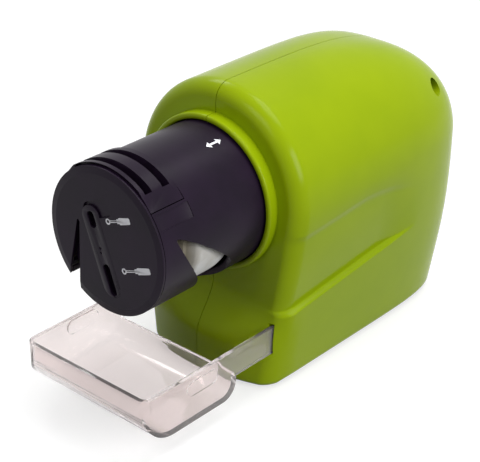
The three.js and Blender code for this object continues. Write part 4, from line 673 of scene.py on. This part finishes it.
def housing_shells():
    whole = skin_solid("whole", 0, height_rules(0, LOW_SHARES, GRIP_SHARES),
                       np.linspace(0, 90, 40), *SKIN_LINES)
    hollow = skin_solid("hollow", WALL, height_rules(WALL, HOLLOW_LOW_SHARES, HOLLOW_GRIP_SHARES),
                        np.linspace(0, 90, 12), *HOLLOW_LINES)
    carve(hollow, rod("boss", SCREW_BOSS, SEAM * 2, BESIDE, SCREW_AT, 64))
    collar = lathe("collar", collar_profile(), COLLAR_SIDES)
    bore_radius = COLLAR_INNER + COLLAR_THICK / 2
    bore = lathe("bore", [(0, BORE_FROM), (bore_radius, BORE_FROM), (bore_radius, BORE_TO), (0, BORE_TO)],
                 BORE_SIDES)
    door_low, door_high = in_frame("battery_door")
    box_low, box_high = in_frame("battery_box")
    rebate = block("door_rebate", (door_low[0] - RUN_GAP, door_low[1] - RUN_GAP, UNDER),
                   (door_high[0] + RUN_GAP, door_high[1] + RUN_GAP, -BASE_DROP + DOOR_REBATE))
    bay = block("bay", (door_low[0] + BAY_LEDGE, door_low[1] + BAY_LEDGE, UNDER),
                (door_high[0] - BAY_LEDGE, door_high[1] - BAY_LEDGE, -BASE_DROP + 2 * WALL))
    box_room = block("box_room", (box_low[0] - GAP, box_low[1] + BOX_EAR - GAP, -BASE_DROP + WALL),
                     (box_high[0] + GAP, box_high[1] - BOX_EAR + GAP, box_high[2]))
    arm_slots = []
    for side in (-1, 1):
        x = sorted((side * ARM_SLOT_X[0], side * ARM_SLOT_X[1]))
        arm_slots.append(block("arm_slot", *zip(x, ARM_SLOT_Y, ARM_SLOT_Z)))
    carve(whole, hollow, bore)
    carve(whole, collar, operation="UNION")
    carve(whole, block("switch_hole", *SWITCH_HOLE), rebate, bay, box_room, *arm_slots, *base_holes())
    for side, name, node_name in ((1, "housing_right", "right_shell"), (-1, "housing_left", "left_shell")):
        half = bpy.data.objects.new(name, whole.data.copy())
        scene.collection.objects.link(half)
        kept = sorted((side * SEAM, side * HALF_ROOM[0]))
        carve(half, block("side", (kept[0], -AROUND, -AROUND), (kept[1], HALF_ROOM[1], AROUND)),
              operation="INTERSECT")
        if side > 0:
            carve(half, rod("recess", SCREW_RECESS, SCREW_SEAT, BESIDE, SCREW_AT, 64),
                  rod("hole", SCREW_HOLE, PAST_SEAM, BESIDE, SCREW_AT, 24))
        half.data.materials.clear()
        half.data.materials.append(GREEN_ABS)
        smooth(half)
        true_normals(half, skin_rule)
        finish_piece(half, "housing", "green_plastic", node_name)
    bpy.data.objects.remove(whole)


housing_shells()


# Head

SLEEVE_INNER, SLEEVE_REAR, SLEEVE_LIP, SLEEVE_LIP_LENGTH, HEAD_SIDES = HEAD_RADIUS - 2.3, 16.0, 1.8, 1.6, 256
DISC_THICK, RIM_THICK, RIM_BEVEL, RIM_DROP = 2.3, 1.2, 2.7, 0.4
SPIGOT_WALL, SPIGOT_LENGTH, SPIGOT_CLEAR_ANGLE = 1.6, 3.6, 3
SLEEVE_FRONT = HEAD_FRONT + RIM_THICK + GAP
INSERT_REAR = SLEEVE_FRONT + 15.6
INSERT_OUTER, INSERT_INNER = HEAD_RADIUS + 1, HEAD_RADIUS - 5.3
INSERT_HALF_ANGLE, INSERT_FULL_ANGLE, INSERT_PLAY_ANGLE = 50.5, 34, 0.35
THUMB_ANGLE, THUMB_HALF_ANGLE, THUMB_FROM, THUMB_PAST = 59, 6, 1.2, 1
SLOT_LEFT, SLOT_RIGHT, SLOT_OPEN_HALF_ANGLE, SLOT_FLOOR = -43, 37, 20, HEAD_RADIUS - 3.9
SLOTS = ((3.2, 3.3), (11.45, 3.3))  # from the head's front, and width
SLOT_OPEN_INNER, SLOT_OPEN_OUTER = 15, 30
GROOVE_DEPTH, GROOVE_ROOF, GROOVE_FLOOR = 1.5, 0.14, 0.05
GUIDE_CENTRE = np.array([-0.08, -0.16]) * HEAD_RADIUS
GUIDE_TILT, GUIDE_HALF_LENGTH, GUIDE_HALF_WIDTH, GUIDE_PROUD = 20.6, 0.618 * HEAD_RADIUS, 4.1, 0.3
GUIDE_SLOTS = ((0.425 * HEAD_RADIUS, 0.113 * HEAD_RADIUS), (-0.389 * HEAD_RADIUS, 0.218 * HEAD_RADIUS))
GUIDE_SLOT_HALF_WIDTH, GUIDE_SEAT_GAP, GUIDE_SINK = 1.6, 0.15, 0.2
PIN_AT, PIN_RADIUS, SMALL_PIN_RADIUS, SMALL_PIN_STEP, PIN_DEPTH = 1.2, 0.55, 0.5, (-0.3, 1.7), 0.6
POCKET_CENTRE, POCKET_TILT = (-3.4, 11.6), -66  # the shallow pocket in the disc, at the guide's upper end
POCKET_HALF_LENGTH, POCKET_HALF_WIDTH, POCKET_DEPTH = 7.4, 3.3, 0.9
NOTCH = [(-0.5, 0.17), (-0.78, -1.02), (-0.54, -1.2), (-0.46, 0.14)]
NOTCH_DEPTH, NOTCH_ROUND = 9.6, 0.45
FAR_OUT, PATCH_OUT = 60, 40  # radii past the head
WINDOW = [(75, 0.31), (83, 0.57), (96, 0.9), (110, 1.21), (118, 1.34), (126, 1.4), (136, 1.42),
          (158, 1.42), (166, 1.34), (168, 1.18), (163, 1.04), (150, 0.94), (126, 0.79), (109, 0.61),
          (94, 0.44), (80, 0.31)]
PAST_DISC, JUST_PAST = 8, 0.01


def guide_point(along):
    tilt = np.radians(GUIDE_TILT)
    return GUIDE_CENTRE + along * np.array([-np.sin(tilt), np.cos(tilt)])


def guide_slots(extra, low, high):
    width = GUIDE_SLOT_HALF_WIDTH + extra
    outlines = [stadium(guide_point(at), half + extra, width, GUIDE_TILT) for at, half in GUIDE_SLOTS]
    return [prism("slot", outline, low, high, 1) for outline in outlines]


def notch_tool(rear):
    outline = round_corners(np.array(NOTCH) * HEAD_RADIUS, NOTCH_ROUND)
    return prism("notch", outline, HEAD_FRONT - CUT_RUN, rear, 1)


def round_axis(radius, start, stop, count):
    """Points in x and z about the head's axis, between two angles from the top."""
    return [(radius * np.sin(t), radius * np.cos(t)) for t in np.radians(np.linspace(start, stop, count))]


def sector_tool(half_angle, low, high):
    return prism("sector", [(0, 0), *round_axis(FAR_OUT, -half_angle, half_angle, 24)], low, high, 1)


def arc_block(name, half_angle, inner, outer, low, high, middle_angle=0.0):
    """A ring segment about the head's axis, centred on an angle from the top."""
    out, back = [round_axis(radius, middle_angle - half_angle, middle_angle + half_angle, 48)
                 for radius in (outer, inner)]
    return prism(name, out + back[::-1], low, high, 1)


def wrapped(name, flat, inner, outer, material=None):
    """An outline of angles from the top and y, wrapped round the head's axis between two radii."""
    points = [(radius * np.sin(a), y, radius * np.cos(a)) for radius in (inner, outer) for a, y in flat]
    return keep(name, points, joined_faces(len(flat)), material)


def window_tool():
    corners = [(np.radians(angle), HEAD_FRONT + share * HEAD_RADIUS) for angle, share in WINDOW]
    window = wrapped("window", curve_through(corners, 5), SLEEVE_INNER - 2, 2 * HEAD_RADIUS)
    return outward(window, lambda shape: bmesh.ops.triangulate(shape, faces=shape.faces))


ON_ROUND, ROUND_AGREES = 0.02, 0.9


def round_rule(radius):
    """Exact normals for what lies on a cylinder about the head's axis."""
    def rule(points, face_normals):
        out, distance = unit(points * (1, 0, 1))
        mask = np.abs(distance - radius) < ON_ROUND
        return mask & (np.sum(out * face_normals, axis=1) > ROUND_AGREES), out
    return rule


def disc_rule(points, face_normals):
    """Exact normals for the disc's flat front and for the cone of its bevelled rim."""
    out, _ = unit(points * (1, 0, 1))
    lean = np.arctan2(RIM_DROP, RIM_BEVEL)
    flat = face_normals[:, 1] < -np.cos(lean / 2)
    cone = face_normals[:, 1] < -np.cos(lean * 1.5)
    exact = np.where(flat[:, None], (0, -1, 0), out * np.sin(lean) - np.array((0, np.cos(lean), 0)))
    return cone, exact


def head_sleeve():
    lip, lip_front = SLEEVE_INNER - SLEEVE_LIP, SLEEVE_REAR - SLEEVE_LIP_LENGTH
    sleeve = lathe("barrel", [
        (SLEEVE_INNER, SLEEVE_FRONT), (HEAD_RADIUS, SLEEVE_FRONT), (HEAD_RADIUS, SLEEVE_REAR),
        (lip, SLEEVE_REAR), (lip, lip_front), (SLEEVE_INNER, lip_front)], HEAD_SIDES, BLACK_ABS)
    insert_room = sector_tool(INSERT_HALF_ANGLE + INSERT_PLAY_ANGLE, SLEEVE_FRONT - CUT_RUN,
                              INSERT_REAR + GAP)
    thumb_patch = arc_block("thumb_patch", THUMB_HALF_ANGLE, HEAD_RADIUS - GAP, PATCH_OUT,
                            SLEEVE_FRONT + THUMB_FROM, INSERT_REAR + THUMB_PAST, THUMB_ANGLE)
    carve(sleeve, insert_room, window_tool(), notch_tool(HEAD_FRONT + NOTCH_DEPTH), thumb_patch)
    ease(sleeve, width=0.25)
    true_normals(sleeve, round_rule(HEAD_RADIUS))
    finish_piece(sleeve, "head", "black_plastic", "head_sleeve")


def head_disc():
    disc_rear, rim_rear, spigot = HEAD_FRONT + DISC_THICK, HEAD_FRONT + RIM_THICK, SLEEVE_INNER - GAP
    spigot_rear, spigot_inner, hub = rim_rear + SPIGOT_LENGTH, spigot - SPIGOT_WALL, INSERT_INNER - GAP
    disc = lathe("disc", [
        (0, HEAD_FRONT), (HEAD_RADIUS - RIM_BEVEL, HEAD_FRONT), (HEAD_RADIUS, HEAD_FRONT + RIM_DROP),
        (HEAD_RADIUS, rim_rear), (spigot, rim_rear), (spigot, spigot_rear), (spigot_inner, spigot_rear),
        (spigot_inner, rim_rear), (hub, rim_rear), (hub, disc_rear), (0, disc_rear)], HEAD_SIDES, BLACK_ABS)
    front = HEAD_FRONT - CUT_RUN
    seat = prism("seat", stadium(GUIDE_CENTRE, GUIDE_HALF_LENGTH + GUIDE_SEAT_GAP,
                                 GUIDE_HALF_WIDTH + GUIDE_SEAT_GAP, GUIDE_TILT, 24),
                 front, HEAD_FRONT + DISC_THICK / 2, 1)
    pocket = stadium(POCKET_CENTRE, POCKET_HALF_LENGTH, POCKET_HALF_WIDTH, POCKET_TILT, 24)
    hollow = prism("hollow", pocket, front, HEAD_FRONT + POCKET_DEPTH, 1)
    clear = arc_block("clear", INSERT_HALF_ANGLE + SPIGOT_CLEAR_ANGLE, INSERT_INNER, PATCH_OUT,
                      rim_rear + JUST_PAST, disc_rear + PAST_DISC)
    carve(disc, clear, seat, hollow, *guide_slots(GAP, front, disc_rear + CUT_RUN),
          notch_tool(disc_rear + PAST_DISC))
    ease(disc, width=0.15)
    true_normals(disc, disc_rule)
    finish_piece(disc, "head", "black_plastic", "front_disc")


def screwdriver_guide():
    """The long insert of the disc. Its front slopes: the left edge stands proud, the right one is sunk."""
    front = HEAD_FRONT - GUIDE_PROUD
    outline = stadium(GUIDE_CENTRE, GUIDE_HALF_LENGTH, GUIDE_HALF_WIDTH, GUIDE_TILT, 24)
    guide = prism("screwdriver_rest", outline, front, HEAD_FRONT + DISC_THICK / 2 - GAP, 1, BLACK_GUIDE)
    across = np.array([np.cos(np.radians(GUIDE_TILT)), np.sin(np.radians(GUIDE_TILT))])
    for vertex in guide.data.vertices:
        x, y, z = np.array(vertex.co) / MM - FRAME_SHIFT
        if y < HEAD_FRONT:
            share = (across @ ((x, z) - GUIDE_CENTRE) / GUIDE_HALF_WIDTH + 1) / 2
            vertex.co.y += share * (GUIDE_PROUD + GUIDE_SINK) * MM
    pin = guide_point(PIN_AT)
    pins = ((pin, PIN_RADIUS), (pin - SMALL_PIN_STEP, SMALL_PIN_RADIUS))
    carve(guide, *guide_slots(0, front - CUT_RUN, HEAD_FRONT + CUT_RUN),
          *[prism("pin", arc(at, radius, 0, 345, 23), front - CUT_RUN, front + PIN_DEPTH, 1)
            for at, radius in pins])
    ease(guide, width=0.22)
    finish_piece(guide, "head", "black_plastic", "screwdriver_guide")


def knife_guide():
    end = INSERT_HALF_ANGLE - INSERT_PLAY_ANGLE
    left, right = round_axis(HEAD_RADIUS, -end, end, 2)
    outline = [left, *round_axis(INSERT_OUTER, -INSERT_FULL_ANGLE, INSERT_FULL_ANGLE, 65), right,
               *round_axis(INSERT_INNER, end, -end, 81)]
    insert = prism("blade_guide", outline, SLEEVE_FRONT, INSERT_REAR, 1, BLACK_ABS)
    groove = arc_block("groove", INSERT_FULL_ANGLE - 1, HEAD_RADIUS - GROOVE_FLOOR,
                       INSERT_OUTER - GROOVE_ROOF, SLEEVE_FRONT - 1, SLEEVE_FRONT + GROOVE_DEPTH)
    cuts = [groove]
    half, middle = (SLOT_RIGHT - SLOT_LEFT) / 2, (SLOT_RIGHT + SLOT_LEFT) / 2
    for at, width in SLOTS:
        low, high = HEAD_FRONT + at, HEAD_FRONT + at + width
        cuts += [arc_block("slot", half, SLOT_FLOOR, FAR_OUT, low, high, middle),
                 arc_block("slot", SLOT_OPEN_HALF_ANGLE, SLOT_OPEN_INNER, SLOT_OPEN_OUTER, low, high)]
    carve(insert, *cuts)
    ease(insert, width=0.25)
    true_normals(insert, round_rule(INSERT_OUTER))
    finish_piece(insert, "head", "black_plastic", "knife_guide")


head_sleeve()
head_disc()
screwdriver_guide()
knife_guide()


# Printed marks on the head

INK_OUT, INK_IN = 0.05, 0.02  # how far the ink stands off the surface, and reaches into it
RING, RING_HOLE, SHAFT_HALF, LINE_GAP_HALF, COLLAR_HALF = 1.15, 0.6, 0.42, 0.15, 0.85
COLLAR_SHARE, HANDLE_SHARE = 0.47, 0.55
HANDLE_FRONT_HALF, HANDLE_END_HALF, HANDLE_ROUND = 1.3, 1.15, 0.55


def screwdriver_mark(name, tip_share, end_share):
    """A plain screwdriver pictogram from its ring tip to its handle's end, both in x and z on the disc as
    shares of its radius: a ring, a shaft of two thin lines, a short collar and a rounded handle."""
    tip, end = np.array(tip_share) * HEAD_RADIUS, np.array(end_share) * HEAD_RADIUS
    length = np.linalg.norm(end - tip)
    along = (end - tip) / length
    side = np.array([-along[1], along[0]])

    def placed(points):
        return [tuple(tip + along * a + side * b) for a, b in points]

    collar, handle = length * COLLAR_SHARE, length * HANDLE_SHARE
    neck = np.arcsin(SHAFT_HALF / RING)
    grip = round_corners([(handle, HANDLE_FRONT_HALF), (length, HANDLE_END_HALF),
                          (length, -HANDLE_END_HALF), (handle, -HANDLE_FRONT_HALF)], HANDLE_ROUND, 4)
    outline = [(RING + RING * np.cos(t), RING * np.sin(t)) for t in np.linspace(neck, 2 * np.pi - neck, 24)]
    outline += [(collar, -SHAFT_HALF), (collar, -COLLAR_HALF), (handle, -COLLAR_HALF)] + grip[::-1]
    outline += [(handle, COLLAR_HALF), (collar, COLLAR_HALF), (collar, SHAFT_HALF)]
    hole = [(RING + RING_HOLE * np.cos(t), RING_HOLE * np.sin(t)) for t in np.linspace(0, 2 * np.pi, 20)[:-1]]
    gap_from, gap_to, half = RING * 2 + 0.1, collar - 0.2, LINE_GAP_HALF
    gap = [(gap_from, -half), (gap_to, -half), (gap_to, half), (gap_from, half)]
    made = prism(name, placed(outline), HEAD_FRONT - INK_OUT, HEAD_FRONT + INK_IN, 1, WHITE_INK)
    for cut in (hole, gap):
        carve(made, prism("hole", placed(cut), HEAD_FRONT - 1, HEAD_FRONT + 1, 1))
    finish_piece(made, "head", "black_plastic")


screwdriver_mark("mark_upper", (0.028, 0.298), (0.453, 0.446))
screwdriver_mark("mark_lower", (0.282, -0.308), (0.776, -0.129))


ARROW_HEAD, ARROW_HALF, ARROW_SHAFT_HALF = 2.0, 1.5, 0.42


def double_arrow(angle, start, stop):
    """A plain double-headed arrow along the barrel, start and stop given from the head's front."""
    length, head, half, shaft = stop - start, ARROW_HEAD, ARROW_HALF, ARROW_SHAFT_HALF
    flat = [(0, 0), (head, half), (head, shaft), (length - head, shaft), (length - head, half), (length, 0),
            (length - head, -half), (length - head, -shaft), (head, -shaft), (head, -half)]
    flat = [(np.radians(angle) + b / HEAD_RADIUS, HEAD_FRONT + start + a) for a, b in flat]
    made = outward(wrapped("mark_arrow", flat, HEAD_RADIUS - INK_IN, HEAD_RADIUS + INK_OUT, WHITE_INK))
    finish_piece(made, "head", "black_plastic")


double_arrow(22.2, 1.44 * HEAD_RADIUS, 1.71 * HEAD_RADIUS)


# Grinding wheel

WHEEL_FRONT, WHEEL_REAR, WHEEL_BORE, WHEEL_SIDES = 4.4, 40, 4.0, 192
NUT_POCKET_RADIUS, NUT_POCKET_FLOOR, FLANK_DROP = 7.0, 7.0, 8
RIDGE_FRONT, RIDGE_REAR, VALLEY_AT, VALLEY_END = 7.0, 10.6, 12.6, 14.0
SHOULDER_AT, SHOULDER_END, DRUM_EDGE, DRUM_FROM = 15.8, 17.2, 19.4, 20.6
RIDGE_GAP, DRUM_GAP, VALLEY_DROP = 0.6, 0.5, 5.6
DRUM_END = [(0, 34), (0.15, 36), (0.5, 37.8), (1.0, 39.1), (1.9, 40)]  # how far in, and where: rounded off


def wheel_piece():
    """The stone: a ridge between the two slots, a valley under the rear one, and a drum behind them that
    the window shows."""
    ridge, drum, valley = INSERT_INNER - RIDGE_GAP, SLEEVE_INNER - DRUM_GAP, INSERT_INNER - VALLEY_DROP
    profile = [(WHEEL_BORE, NUT_POCKET_FLOOR), (NUT_POCKET_RADIUS, NUT_POCKET_FLOOR),
               (NUT_POCKET_RADIUS, WHEEL_FRONT), (ridge - FLANK_DROP, WHEEL_FRONT), (ridge, RIDGE_FRONT),
               (ridge, RIDGE_REAR), (valley, VALLEY_AT), (valley, VALLEY_END), (ridge, SHOULDER_AT),
               (ridge, SHOULDER_END), (drum - DRUM_GAP, DRUM_EDGE), (drum, DRUM_FROM)]
    profile += [(drum - inset, at) for inset, at in DRUM_END] + [(WHEEL_BORE, WHEEL_REAR)]
    made = lathe("wheel", [(radius, HEAD_FRONT + at) for radius, at in profile], WHEEL_SIDES, STONE)
    ease(made, width=0.3, angle=20)
    finish_piece(made, "wheel", "stone", "grinding_wheel")


wheel_piece()


# Chip tray

TRAY_HALF, TRAY_FRONT, TRAY_REAR, TRAY_TOP, TRAY_FLOOR, TRAY_WALL = 31.0, -66.0, -19.3, -46.5, -66.0, 1.6
TRAY_FRONT_ROUND, TRAY_REAR_ROUND, TRAY_CORNER = 14, 7, 4
PAD_Y, PAD_HALF_LENGTH, PAD_HALF_WIDTH, PAD_PROUD, PAD_DROP = -37.5, 7.8, 2.9, 0.6, 5
REAR_DROP, REAR_DROP_BACK = 10, 8  # the rear wall is cut down between the arms
ARM_DROP, ARM_ROOT, ARM_END, HOOK_FROM, HOOK_IN = 11, 7, 14, 12, 1
PAST_TRAY, UNDER_TRAY, OVER_TRAY, OVER_HOLLOW = 40, -80, -40, -30


def tray_side(inset, rim):
    """The tray's outline from the side: a large round at the front foot and a small one at the rear."""
    front, rear, floor = TRAY_FRONT + inset, TRAY_REAR - inset, TRAY_FLOOR + inset
    big, small = TRAY_FRONT_ROUND - inset, TRAY_REAR_ROUND - inset
    return [(front, rim), *arc((front + big, floor + big), big, 180, 270, 24),
            *arc((rear - small, floor + small), small, 270, 360, 16), (rear, rim)]


def tray_plan(inset):
    """The tray's outline from above: two rounded corners in front, open towards the housing."""
    x, front, radius = TRAY_HALF - inset, TRAY_FRONT + inset, TRAY_CORNER - inset
    return [*arc((-x + radius, front + radius), radius, 180, 270, 12),
            *arc((x - radius, front + radius), radius, 270, 360, 12), (x, 0), (-x, 0)]


def tray_piece():
    half, inner_half, rear, top = TRAY_HALF, TRAY_HALF - TRAY_WALL, TRAY_REAR, TRAY_TOP
    outer = prism("tray", tray_side(0, top), -PAST_TRAY, PAST_TRAY, 0)
    carve(outer, prism("plan", tray_plan(0), UNDER_TRAY, OVER_TRAY, 2), operation="INTERSECT")
    inner = prism("inside", tray_side(TRAY_WALL, top + CUT_RUN), -PAST_TRAY, PAST_TRAY, 0)
    carve(inner, prism("plan", tray_plan(TRAY_WALL), UNDER_TRAY, OVER_HOLLOW, 2), operation="INTERSECT")
    carve(outer, block("rear_drop", (-inner_half, rear - REAR_DROP_BACK, top - REAR_DROP),
                       (inner_half, rear + CUT_RUN, top + CUT_RUN)))
    pads = prism("pads", stadium((PAD_Y, top - PAD_DROP), PAD_HALF_LENGTH, PAD_HALF_WIDTH, 90, 16),
                 -half - PAD_PROUD, half + PAD_PROUD, 0)
    carve(outer, pads, operation="UNION")
    carve(outer, inner)
    for side in (-1, 1):
        arm = sorted((side * inner_half, side * half))
        hook = sorted((side * (inner_half - HOOK_IN), side * half))
        low = top - ARM_DROP
        carve(outer, block("arm", (arm[0], rear - ARM_ROOT, low), (arm[1], ARM_END, top)),
              block("hook", (hook[0], HOOK_FROM, low), (hook[1], ARM_END, top)), operation="UNION")
    outer.data.materials.clear()
    outer.data.materials.append(CLEAR_STYRENE)
    ease(outer, width=0.3)
    finish_piece(outer, "tray", "clear_plastic", "chip_tray")


tray_piece()


# Hidden and plain pieces keep their solids, and get their finish

FINISH = {
    "battery_door": GREEN_ABS, "chip_baffle": BLACK_ABS, "battery_box": BLACK_ABS, "switch_body": BLACK_ABS,
    "switch_rocker": BLACK_GUIDE, "index_carrier": GREY_NYLON, "motor_bracket": GREY_NYLON,
    "motor_end_cap": GREY_NYLON, "wheel_hub": TURNED_BRASS, "lead_battery_to_switch": RED_VINYL,
    "lead_switch_to_motor": RED_VINYL, "lead_battery_to_motor": BLACK_VINYL,
}

for name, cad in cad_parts.items():
    if cad.hide_render:
        continue
    chosen = FINISH.get(name)
    if name.startswith("foot"):
        chosen = FOOT_RUBBER
    elif name.startswith("battery_cell"):
        chosen = CELL_FILM
    elif chosen is None:
        chosen = NICKEL_STEEL
    for slot in cad.material_slots:
        slot.material = chosen


# Floor, light and background

SOFT_LIGHT, WHITE_LIGHT = 0.28, 1.0  # the world's strength for what it lights, and as it is seen
FLOOR_GLOW, FLOOR_REACH = 0.62, 3000


def seen_directly(tree):
    """1 for what the camera sees, straight, in a reflection or through clear plastic, and 0 for the light
    that reaches a matt surface first."""
    path = node(tree, "LightPath")

    def combined(operation, first, second):
        made = node(tree, "Math", {"operation": operation})
        tree.links.new(first, made.inputs[0])
        tree.links.new(second, made.inputs[1])
        return made.outputs[0]

    glossy = combined("MAXIMUM", path.outputs["Is Camera Ray"], path.outputs["Is Glossy Ray"])
    clear = combined("MAXIMUM", glossy, path.outputs["Is Transmission Ray"])
    first = node(tree, "Math", {"operation": "LESS_THAN"})
    first.inputs[1].default_value = 0.5
    tree.links.new(path.outputs["Diffuse Depth"], first.inputs[0])
    return combined("MULTIPLY", clear, first.outputs[0])


def white_stage():
    """Matt seamless paper: white to the eye with the object's shadow on it, and a soft grey to the light
    that it throws back."""
    material, tree, shader = new_material("paper_seamless_matt")
    seen = seen_directly(tree)
    shade = node(tree, "Mix", {"data_type": "RGBA"})
    shade.inputs[6].default_value = linear("#565656")
    shade.inputs[7].default_value = linear("#b4b4b4")
    tree.links.new(seen, shade.inputs[0])
    glow = node(tree, "Math", {"operation": "MULTIPLY"})
    glow.inputs[1].default_value = FLOOR_GLOW
    tree.links.new(seen, glow.inputs[0])
    tree.links.new(shade.outputs[2], shader.inputs["Base Color"])
    tree.links.new(glow.outputs[0], shader.inputs["Emission Strength"])
    shader.inputs["Emission Color"].default_value = linear("#ffffff")
    shader.inputs["Roughness"].default_value = 0.9
    corners = [(x * FLOOR_REACH, y * FLOOR_REACH, -LIFT_Z) for x, y in ((-1, -1), (1, -1), (1, 1), (-1, 1))]
    floor = keep("floor", corners, [(0, 1, 2, 3)], material)


def world_light():
    world = bpy.data.worlds.new("studio")
    world.use_nodes = True
    tree = world.node_tree
    tree.nodes.clear()
    soft = node(tree, "Background", {"Color": linear("#ffffff"), "Strength": SOFT_LIGHT})
    white = node(tree, "Background", {"Color": linear("#ffffff"), "Strength": WHITE_LIGHT})
    mix = node(tree, "MixShader")
    tree.links.new(seen_directly(tree), mix.inputs[0])
    tree.links.new(soft.outputs[0], mix.inputs[1])
    tree.links.new(white.outputs[0], mix.inputs[2])
    out = node(tree, "OutputWorld")
    tree.links.new(mix.outputs[0], out.inputs["Surface"])
    scene.world = world


# Each softbox: its place and size in metres, and its power in watts
SOFTBOXES = {
    "side": ((1.0, 0.0, 0.5), (0.5, 0.5), 7.8),
    "top": ((0.15, 0.3, 1.0), (0.6, 0.5), 5.2),
    "front": ((0.05, -0.75, 0.85), (0.5, 0.4), 2.5),
    "fill": ((-0.9, 0.3, 1.1), (0.5, 0.4), 4),
}
LIT_POINT = (0, 0, 0.06)


def softbox(name, place, size, watts):
    data = bpy.data.lights.new(name, "AREA")
    data.shape, data.size, data.size_y, data.energy = "RECTANGLE", size[0], size[1], watts
    lamp = bpy.data.objects.new(name, data)
    lamp.location = place
    lamp.rotation_mode = "QUATERNION"
    lamp.rotation_quaternion = (Vector(LIT_POINT) - Vector(place)).to_track_quat("-Z", "Y")
    scene.collection.objects.link(lamp)


white_stage()
world_light()
for name, values in SOFTBOXES.items():
    softbox(name, *values)

scene.view_settings.view_transform = "Standard"
